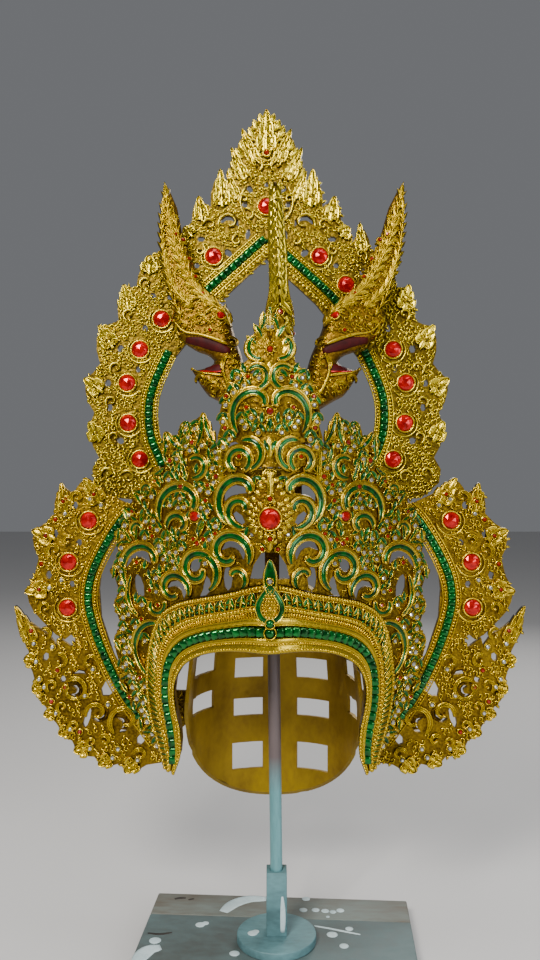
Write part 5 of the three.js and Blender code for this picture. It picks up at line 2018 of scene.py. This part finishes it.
# ---------------------------------------------------------------- serpents
@dataclass(frozen=True)
class Cushion:
    """A rounded front that swells from the outline of a serpent's head, seen from its side.

    Args:
        outline: the outline's points, distance from the neck's axis and height.
        swell: how far in from the outline the swelling goes on.
        shift: as for Face.
    """

    outline: tuple[Point, ...]
    swell: float = 13.0
    shift: float = 0.0

    def depth(self, x: np.ndarray | float, z: np.ndarray | float) -> np.ndarray:
        """How far inside the outline places lie.

        Args:
            x: distance from the neck's axis.
            z: how high.

        Returns:
            The distance from the outline, 0 outside it.
        """
        p = np.stack(np.broadcast_arrays(np.asarray(x, float), np.asarray(z, float)), -1).reshape(-1, 1, 2)
        a = np.array(self.outline, float)
        b = np.roll(a, -1, axis=0)
        run = b - a
        t = np.clip(((p - a) * run).sum(2) / (run**2).sum(1), 0, 1)
        near = np.linalg.norm(p - (a + t[..., None] * run), axis=2).min(1)
        over = (a[:, 1] > p[..., 1]) != (b[:, 1] > p[..., 1])
        rise = np.where(run[:, 1] == 0, 1e-9, run[:, 1])
        left = p[..., 0] < a[:, 0] + (p[..., 1] - a[:, 1]) / rise * run[:, 0]
        return np.where((over & left).sum(1) % 2 == 1, near, 0.0)

    def y(self, x: np.ndarray | float, z: np.ndarray | float) -> np.ndarray:
        """Y of the near cheek, which is thick, and thinner at the snout and the crest.

        Args:
            x: distance from the neck's axis.
            z: how high.

        Returns:
            Y at each place.
        """
        x, z = np.broadcast_arrays(np.asarray(x, float), np.asarray(z, float))
        half = 11.5 * (1 - 0.4 * smoothstep(x, 45, 104)) * (1 - 0.35 * smoothstep(z, 640, 668))
        half = half * (1 - 0.55 * smoothstep(z, 690, 766))
        share = np.clip(self.depth(x, z).reshape(x.shape) / self.swell, 0, 1)
        return -half * np.sqrt(1 - (1 - share) ** 2)

    def body(self, name: str, finish: Finish, place: Place) -> bpy.types.Object:
        """The closed body between the near and the far cheek.

        Args:
            name: its name.
            finish: its finish.
            place: where it goes.

        Returns:
            The body, in the scene but not yet handed to the frame.
        """
        rim = resample(np.array([*self.outline, self.outline[0]], float), 150)[:-1]
        low, high = rim.min(0), rim.max(0)
        gx, gz = np.meshgrid(np.arange(low[0], high[0], 2.6), np.arange(low[1], high[1], 2.6))
        inner = np.stack([gx.ravel(), gz.ravel()], 1)
        inner = inner[self.depth(inner[:, 0], inner[:, 1]) > 1.3]
        flat = np.vstack([rim, inner])
        loop = [(i, (i + 1) % len(rim)) for i in range(len(rim))]
        found = delaunay_2d_cdt([Vector(p) for p in flat.tolist()], loop, [], 1, 1e-6)
        spots, tris = np.array([tuple(v) for v in found[0]]), found[2]
        y = self.y(spots[:, 0], spots[:, 1])
        edge = self.depth(spots[:, 0], spots[:, 1]) < 1e-4
        y[edge] = 0.0
        near = np.stack([spots[:, 0], y, spots[:, 1]], 1)
        total = len(near)
        twin = np.where(edge, np.arange(total), np.arange(total) + total)
        faces = [list(t) for t in tris] + [[int(twin[i]) for i in t][::-1] for t in tris]
        mesh = bpy.data.meshes.new(name)
        mesh.from_pydata((place(np.vstack([near, near * [1, -1, 1]])) * MM).tolist(), [], faces)
        with edited(mesh) as work:
            bmesh.ops.delete(work, geom=[v for v in work.verts if not v.link_faces], context="VERTS")
            bmesh.ops.recalc_face_normals(work, faces=work.faces)
        shade_smooth(mesh)
        mesh.materials.append(material(finish))
        return link_new(name, mesh)


def plume(relief: Relief, line: np.ndarray, half: float, pitch: float = 8.5) -> None:
    """A tongue of the crest: a ridge with flame leaves up both sides that part toward its tip.

    Args:
        relief: where it goes.
        line: the tongue's line, from its root.
        half: half its width at the root.
        pitch: from leaf to leaf.
    """
    length = float(np.linalg.norm(np.diff(line, axis=0), axis=1).sum())
    spots = resample(line, max(4, int(length / pitch)))
    way, side = sideways(spots)
    for i, spot in enumerate(spots[:-2]):
        wide = half * (1 - 0.5 * i / len(spots))
        for hand in (-1, 1):
            root = spot + side[i] * hand * wide * 0.15
            point = spot + way[i] * pitch * 1.6 + side[i] * hand * (wide + 2.0)
            relief.leaf(tuple(root), tuple(point), wide * 1.15 + 0.8, 3.8, bow=-0.2 * hand, lift=0.03 * i)
    t = np.linspace(0, 1, 24)
    relief.sweep(resample(line, 24), half * 0.26 * (1 - 0.7 * t) + 0.3, 4.4, Moulding.ROUND)
    relief.leaf(tuple(spots[-3]), tuple(spots[-1] + way[-1] * 2), half * 1.1, 4.2)


@dataclass
class Serpents:
    """The three naga heads on their column, drawn once in profile facing +X."""

    outline: tuple = (
        (25.3, 490), (32, 494), (34, 525), (42, 540), (57, 549), (67, 554), (75, 565), (84, 581), (77, 580),
        (66, 583), (60, 588), (66, 594), (78, 598), (88, 604), (98, 613), (106, 628), (103, 643), (102, 648),
        (106, 650), (112, 664), (119, 688), (122, 722), (119, 768), (113, 758), (105, 741), (101, 725),
        (98, 711), (89, 689), (77, 664), (50, 640), (43, 616), (35, 596), (29, 575), (25.3, 545))
    # long tongues of the crest: points, half width
    tongues: tuple = (
        (((60, 642), (86, 664), (104, 700), (113, 735), (118, 764)), 5.0),
        (((84, 640), (104, 660), (115, 690), (119, 725), (118, 752)), 4.2),
        (((52, 634), (76, 654), (92, 682), (102, 712), (108, 738)), 3.8),
        (((46, 622), (56, 641), (76, 650), (98, 645)), 3.4),
        (((95, 632), (104, 648), (110, 668), (114, 690)), 3.0),
    )
    # lips, brow, jaw and neck: points, half width
    folds: tuple = (
        (((46, 603), (60, 609), (76, 614), (92, 617), (103, 628)), 2.6),
        (((52, 573), (62, 575), (74, 577), (83, 581)), 2.2),
        (((45, 628), (52, 640), (64, 641), (72, 633)), 2.4),
        (((40, 552), (48, 566), (52, 580), (48, 594)), 2.6), (((31, 510), (33, 535), (40, 556)), 2.4),
    )
    # scrolls: x, z, radius at the start and end, bearing, turn
    scrolls: tuple = (
        (94, 622, 8, 1.8, -80, 330), (78, 628, 8, 1.8, 200, -320), (46, 586, 9, 2, -60, 330),
        (62, 561, 8, 1.8, 20, 330), (47, 553, 7, 1.6, 90, 320), (36, 572, 6, 1.5, 0, 320),
        (88, 648, 7, 1.6, -40, 320), (70, 644, 6, 1.5, 200, -320), (98, 676, 7, 1.6, -60, 320),
        (84, 672, 6, 1.5, 120, -320), (96, 700, 6, 1.5, 120, -320), (113, 704, 6, 1.5, -60, 320),
        (106, 728, 5, 1.3, 120, -320), (115, 730, 4.5, 1.2, -60, 320), (43, 606, 6, 1.5, 30, 320),
        (74, 570, 6, 1.4, -30, 320),
    )
    garnets: tuple = ((75, 655), (83, 672), (90, 690), (97, 709), (104, 714), (66, 618))

    # the middle head: the height from which it is less tall, its share of the height, Y of the column's
    # middle, and its share of the length
    throat: float = 545.0
    squat: float = 0.86
    column: float = 9.94
    short: float = 0.8

    def __post_init__(self) -> None:
        """Takes the outline as the cheeks' one."""
        self.cheek = Cushion(self.outline)

    @staticmethod
    def lean(z: np.ndarray) -> np.ndarray:
        """X of the middle head's own middle, at each height."""
        return 9.5 - 5.5 * np.clip((z - 615) / 130, 0, 1)

    def posed(self, side: int, cheek: int) -> Place:
        """Puts what was drawn in profile on one of the heads.

        Args:
            side: -1 for the left head, 1 for the right one, 0 for the one in front.
            cheek: 1 for the cheek it was drawn on, -1 for the other.

        Returns:
            The function that moves the points.
        """
        def place(points: np.ndarray) -> np.ndarray:
            """Moves the points to the head; the middle one looks forward and is less tall and less long.

            Args:
                points: the points as drawn in profile.

            Returns:
                The points on the head.
            """
            x, y, z = (points * [1, cheek, 1]).T
            if side:
                sway = 8 * np.clip((z - 590) / 178, 0, 1)
                return np.stack([6 + side * x + sway, 8 + side * y, z], 1)
            z = self.throat + (z - self.throat) * self.squat
            return np.stack([self.lean(z) + y, self.column - self.short * x, z], 1)

        return place

    def ornament(self, relief: Relief, seed: int) -> None:
        """Everything on one cheek: crest, folds, scrolls, eye, mouth and small curls.

        Args:
            relief: where it goes.
            seed: seed of the small curls.
        """
        for points, half in self.tongues:
            plume(relief, smooth(points, 60), half)
        for points, half in self.folds:
            relief.scroll(smooth(points, 16), half, 2.8, Moulding.ROUND, tip=0.4, boss=1.8)
        for row in self.scrolls:
            relief.scroll(spiral(*row, 16), 1.9, 3.0, Moulding.FLUTED, boss=1.7)
        for x, z in self.garnets:
            relief.stone((x, z), Finish.GARNET, 1.9, 2.2, 1.8, 8, (2.6, 0.7, 2.6, 10))
        relief.stone((55.5, 633), Finish.RUBY, 4.0, 3.4, 0.8, 10, (4.9, 1.1, 3.4, 14))
        for points, half in ((((45, 597), (60, 602), (76, 607), (90, 609)), 5.0),
                             (((50, 583), (58, 581), (70, 580)), 4.0)):
            relief.sweep(smooth(points, 12), half * swell(0.12, 0.9, 12, 0.6), 0.9,
                         Moulding.STROKE, finish=Finish.MOUTH, band=Finish.MOUTH)
        relief.sweep(smooth(((54, 577), (64, 577.5), (75, 578.5)), 8), 0.9, 2.4, Moulding.STROKE,
                     finish=Finish.RUBY, band=Finish.RUBY)
        self._curls(relief, random.Random(seed))

    def _curls(self, relief: Relief, rng: random.Random) -> None:
        """Small curls between the large forms, but for the mouth, streaming up and back.

        Args:
            relief: where they go.
            rng: source of their jitter.
        """
        for row in range(44):
            for col in range(18):
                x, z = 27 + 5.6 * (col + 0.5 * (row % 2)), 494 + 6.2 * row
                x, z = x + rng.uniform(-0.8, 0.8), z + rng.uniform(-0.8, 0.8)
                mouth = 572 < z < 614 and x > 44
                if mouth or float(self.cheek.depth(x, z)[0]) < 3.0:
                    continue
                line = spiral(x, z, 3.2, 0.7, rng.uniform(-90, 0), rng.choice((-1, 1)) * 290, 8)
                relief.scroll(line, 1.1, 2.0, Moulding.RIDGE, boss=0.9)

    def build(self) -> None:
        """Builds the three heads and the column."""
        settle(smooth_copy("neck_column", "column_core", Finish.GROUND, None, 30), "neck_column")
        scales = Relief(Face(-10.0, shift=6.0), Finish.GILT)
        for row in range(8):
            for col in range(5 - row % 2):
                x, z = 10 * (col - 2 + 0.5 * (row % 2)), 443 + 12 * row
                scales.leaf((x, z), (x, z + 15), 10.5, 2.6, lift=0.05 * row)
        scales.build("column_scales")
        for side, name in ((-1, "naga_left"), (1, "naga_right"), (0, "naga_centre")):
            gold = Finish.NAGA_GILT if side else Finish.HALO_GILT
            # the heads' bodies take the darker ground gold, painted shade under their relief
            ground = Finish.GROUND if side else Finish.WALL_GROUND
            relief = Relief(self.cheek, gold)
            self.ornament(relief, 30 + side)
            settle(self.cheek.body(f"{name}_body", ground, self.posed(side, 1)), name)
            relief.build(f"{name}_relief", places=[self.posed(side, 1), self.posed(side, -1)])
        self.front_edge()

    def front_edge(self) -> None:
        """Leaves that climb the front edge of the middle head, from its throat to the tip of its crest."""
        rim = resample(np.array([*self.outline, self.outline[0]], float), 900)

        def reach(z: np.ndarray) -> np.ndarray:
            """How far forward the profile goes at each height."""
            return np.array([rim[np.abs(rim[:, 1] - q) < 1.6, 0].max() for q in np.clip(z, 492, 766)])

        def place(points: np.ndarray) -> np.ndarray:
            """Wraps what was drawn flat onto the front edge.

            Args:
                points: the points as drawn flat.

            Returns:
                The points on the edge.
            """
            x, y, z = points.T
            profile = self.throat + (z - self.throat) / self.squat
            front = self.column - self.short * reach(profile)
            return np.stack([self.lean(z) + x, front + y + 0.09 * x**2, z], 1)

        edge = Relief(Face(2.0), Finish.HALO_GILT)
        for z in np.arange(628, 724, 7.0):
            wide = 8.5 * (1 - 0.55 * smoothstep(z, 640, 728)) + 2.2
            edge.leaf((0, z - 2), (0, z + 11), wide, 3.4, lift=0.4)
            for hand in (-1, 1):
                edge.leaf((hand * wide * 0.25, z - 5), (hand * wide * 0.8, z + 5.5), wide * 0.62, 2.6,
                          bow=0.12 * hand)
        for z in np.arange(548, 590, 8.0):
            edge.leaf((0, z - 3), (0, z + 8), 7.5, 2.8)
        edge.stone((0, 622), Finish.GARNET, 2.6, 2.6, 2.6, 8, (3.4, 0.9, 4.0, 12))
        edge.build("naga_centre_edge", places=[place])


# ---------------------------------------------------------------- cap and stand
@dataclass
class Cap:
    """The ochre skull cap with its square windows.

    Args:
        half: half its width and half its depth.
        facets: flat facets round the solid dome.
        rim: height of its lower rim at the middle, and how far it drops for each step back.
    """

    half: Point = (88.0, 100.0)
    facets: int = 22
    rim: Point = (235.0, 1.1)

    def outline(self, angle: float) -> Point:
        """The cap's outline as drawn from above, about its own middle.

        Args:
            angle: a bearing in radians.

        Returns:
            The outline's point at that bearing.
        """
        c, s = math.cos(angle), math.sin(angle)
        reach = (abs(c) ** 2.5 + abs(s) ** 2.5) ** -0.4
        return self.half[0] * reach * c, self.half[1] * reach * s

    def growth(self, angle: float) -> float:
        """How much further out than its flat facet the round outline lies.

        Args:
            angle: the bearing.

        Returns:
            The share, 1 where a facet's corner is.
        """
        step = 2 * math.pi / self.facets
        k = int((angle + math.pi) / step + 0.5) % self.facets
        a, b = (self.outline(step * (corner - 0.5) - math.pi) for corner in (k, k + 1))
        across = (b[1] - a[1]) * math.cos(angle) - (b[0] - a[0]) * math.sin(angle)
        return math.hypot(*self.outline(angle)) / ((a[0] * b[1] - a[1] * b[0]) / across)

    def build(self) -> None:
        """Builds the cap, its facets pushed out to the smooth dome that they stand for."""
        shell = smooth_copy("skull_cap", "cap_shell", Finish.CAP, None, 38)
        low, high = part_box("skull_cap")
        middle, (rim, drop) = (low[0] + high[0]) / 2, self.rim
        with edited(shell.data) as work:
            cuts = self.facets * 3 // 2
            for turn in np.arange(cuts) * math.pi / cuts:
                cut(work, (middle, 0, 0), (math.cos(turn), math.sin(turn), 0))
            for v in work.verts:
                x, y = v.co.x / MM - middle / MM, v.co.y / MM
                grow = self.growth(math.atan2(y, x))
                if 0.98 < grow < 1.06:
                    on_rim = abs(v.co.z / MM - rim + drop * y) < 0.4
                    v.co.x, v.co.y = (middle / MM + x * grow) * MM, y * grow * MM
                    if on_rim:
                        v.co.z = (rim - drop * y * grow) * MM
            soften(work, 38)
        settle(shell, "skull_cap", slot=Slot.CAP)


@dataclass
class Stand:
    """The board, disc, socket and post."""

    # pale paint: x, y and radius of the drops; points and half width of the smears
    drops: tuple = ((35, 60, 4.4), (48, 60, 4.2), (58, 58, 4.2), (66, 56, 3.6), (74, 59, 4.2), (39, 84, 4.4),
                    (80, 22, 4.0), (72, -10, 4.6), (62, 11, 5.6), (-71, 30, 5.0), (-66, 33, 3.6),
                    (-113, 0, 6.0), (-34, -23, 5.0), (-120, -30, 5.0), (60, 46, 2.0), (-88, -62, 5.5),
                    (96, -55, 6.0))
    smears: tuple = ((((-49, 56), (-38, 74), (-22, 84), (-4, 84)), 8.0),
                     (((-126, -38), (-118, -18), (-106, -12)), 8.5),
                     (((45, 28), (62, 22), (90, 11)), 1.5), (((-104, -80), (-70, -74), (-52, -84)), 5.0))
    knots: tuple = ((((-103, 84), (-97, 86), (-91, 86)), 2.4), (((-88, 82), (-84, 84), (-82, 84)), 1.6),
                    (((-122, 14), (-110, 12), (-98, 15)), 2.0))

    def build(self) -> None:
        """Builds the four pieces with softened edges."""
        for node, finish, width in (("board_front", Finish.BOARD, 1.6), ("board_back", Finish.PLANK, 1.6),
                                    ("disc", Finish.PAINT, 1.0), ("socket", Finish.PAINT, 0.8)):
            piece = smooth_copy(node, f"{node}_painted", finish, None, 30)
            with edited(piece.data) as work:
                bmesh.ops.dissolve_limit(work, angle_limit=0.02, verts=work.verts, edges=work.edges)
                sharp = [e for e in work.edges if len(e.link_faces) == 2 and e.calc_face_angle() > 0.6]
                bmesh.ops.bevel(work, geom=sharp, offset=width * MM, segments=3, profile=0.5, affect="EDGES")
                for edge in work.edges:
                    edge.smooth = True
            settle(piece, node, slot=Slot.PAINT)
        settle(smooth_copy("post", "post_rod", Finish.POST, None, 40), "post", slot=Slot.POST)
        self.splashes()

    def splashes(self) -> None:
        """Thin drops and smears of pale paint, and the board's dark knots."""
        floor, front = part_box("board_front")[1][2] / MM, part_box("socket")[0][1] / MM
        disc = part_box("disc")[1][2] / MM
        for name, finish, height, drops, smears in (
            ("board_splashes", Finish.SPLASH, floor, self.drops, self.smears),
            ("board_knots", Finish.KNOT, floor, (), self.knots),
            ("disc_splash", Finish.SPLASH, disc, ((-17, -2, 5.0), (-14, 1, 3.6)), ()),
        ):
            spots = Relief(Face(0.0), finish)
            for x, y, radius in drops:
                spots.bead((x, y), radius, 0.4, sides=14)
            for line, half in smears:
                path = smooth(line, 14)
                spots.sweep(path, half * swell(0.12, 0.9, 14, 0.5), 0.35, sunk=0.5)
            spots.build(name, slot=Slot.PAINT,
                        places=[lambda p, up=height: np.stack([p[:, 0], p[:, 2], up - p[:, 1]], 1)])
        run = Relief(Face(front), Finish.SPLASH)
        run.sweep(smooth(((12.2, 31), (12.6, 46), (12.0, 66)), 12),
                  2.6 * swell(0.2, 0.95, 12, 0.6), 0.4, sunk=0.5)
        run.build("socket_splash", slot=Slot.PAINT)


# ---------------------------------------------------------------- studio
@dataclass
class Studio:
    """The floor, the lights, the world and the camera.

    Args:
        eye: where the camera stands, in metres.
        lens: its focal length in millimetres.
        aim: what the lights point at, in metres.
    """

    eye: Rgb = (0.0, -0.846, 0.471)
    lens: float = 32.25
    aim: Vector = Vector((0, 0, 0.45)).freeze()

    def build(self) -> None:
        """Sets up the floor, lights and camera."""
        bpy.ops.mesh.primitive_plane_add(size=14, location=(0, 0, 0))
        floor = bpy.context.object
        floor.name = "floor"
        s = Shader("pale_floor")
        s.set(Base_Color=(0.62, 0.61, 0.6, 1), Roughness=0.7)
        floor.data.materials.append(s.material)
        world = bpy.data.worlds.new("studio")
        world.use_nodes = True
        sky = world.node_tree.nodes["Background"].inputs
        sky["Color"].default_value = (0.66, 0.68, 0.72, 1)
        sky["Strength"].default_value = 0.24
        bpy.context.scene.world = world
        for name, place, size, power, rgb in (
            ("key", (-0.55, -1.4, 1.35), 0.5, 40, (1, 0.97, 0.92)),
            ("fill", (1.2, -1.2, 0.7), 0.8, 13, (0.94, 0.97, 1)),
            ("top", (0.1, -0.1, 2.0), 0.9, 16, (1, 1, 1)),
            ("back", (0.6, 1.5, 1.2), 0.9, 12, (1, 0.98, 0.95)),
        ):
            lamp = bpy.data.lights.new(name, "AREA")
            lamp.energy, lamp.size, lamp.color = power, size, rgb
            holder = link_new(name, lamp)
            holder.location = place
            holder.rotation_euler = (self.aim - Vector(place)).to_track_quat("-Z", "Y").to_euler()
        view = bpy.data.cameras.new("camera")
        view.lens, view.sensor_width = self.lens, 36.0
        camera = link_new("camera", view)
        camera.location = self.eye
        camera.rotation_euler = (math.pi / 2, 0, 0)
        bpy.context.scene.camera = camera


def main() -> None:
    """Builds every sub-assembly in order, from the stand up."""
    logging.basicConfig(level=logging.INFO, format="%(name)s: %(message)s")
    Studio().build()
    Stand().build()
    Cap().build()
    shop = Workshop()
    Halo().build(shop)
    Wings().build(shop)
    Tiara().build(shop)
    BrowBand().build(shop)
    Spire().build(shop)
    Serpents().build()
    shop.clear()
    # the halo and wing plates take the darker ground gold, painted shade between the ornament
    for node, ground in (("halo", Finish.HALO_GROUND), ("wing_left", Finish.WALL_GROUND),
                         ("wing_right", Finish.WALL_GROUND)):
        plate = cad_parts[node].data
        plate.materials.clear()
        plate.materials.append(material(ground))


if __name__ == "__main__":
    main()
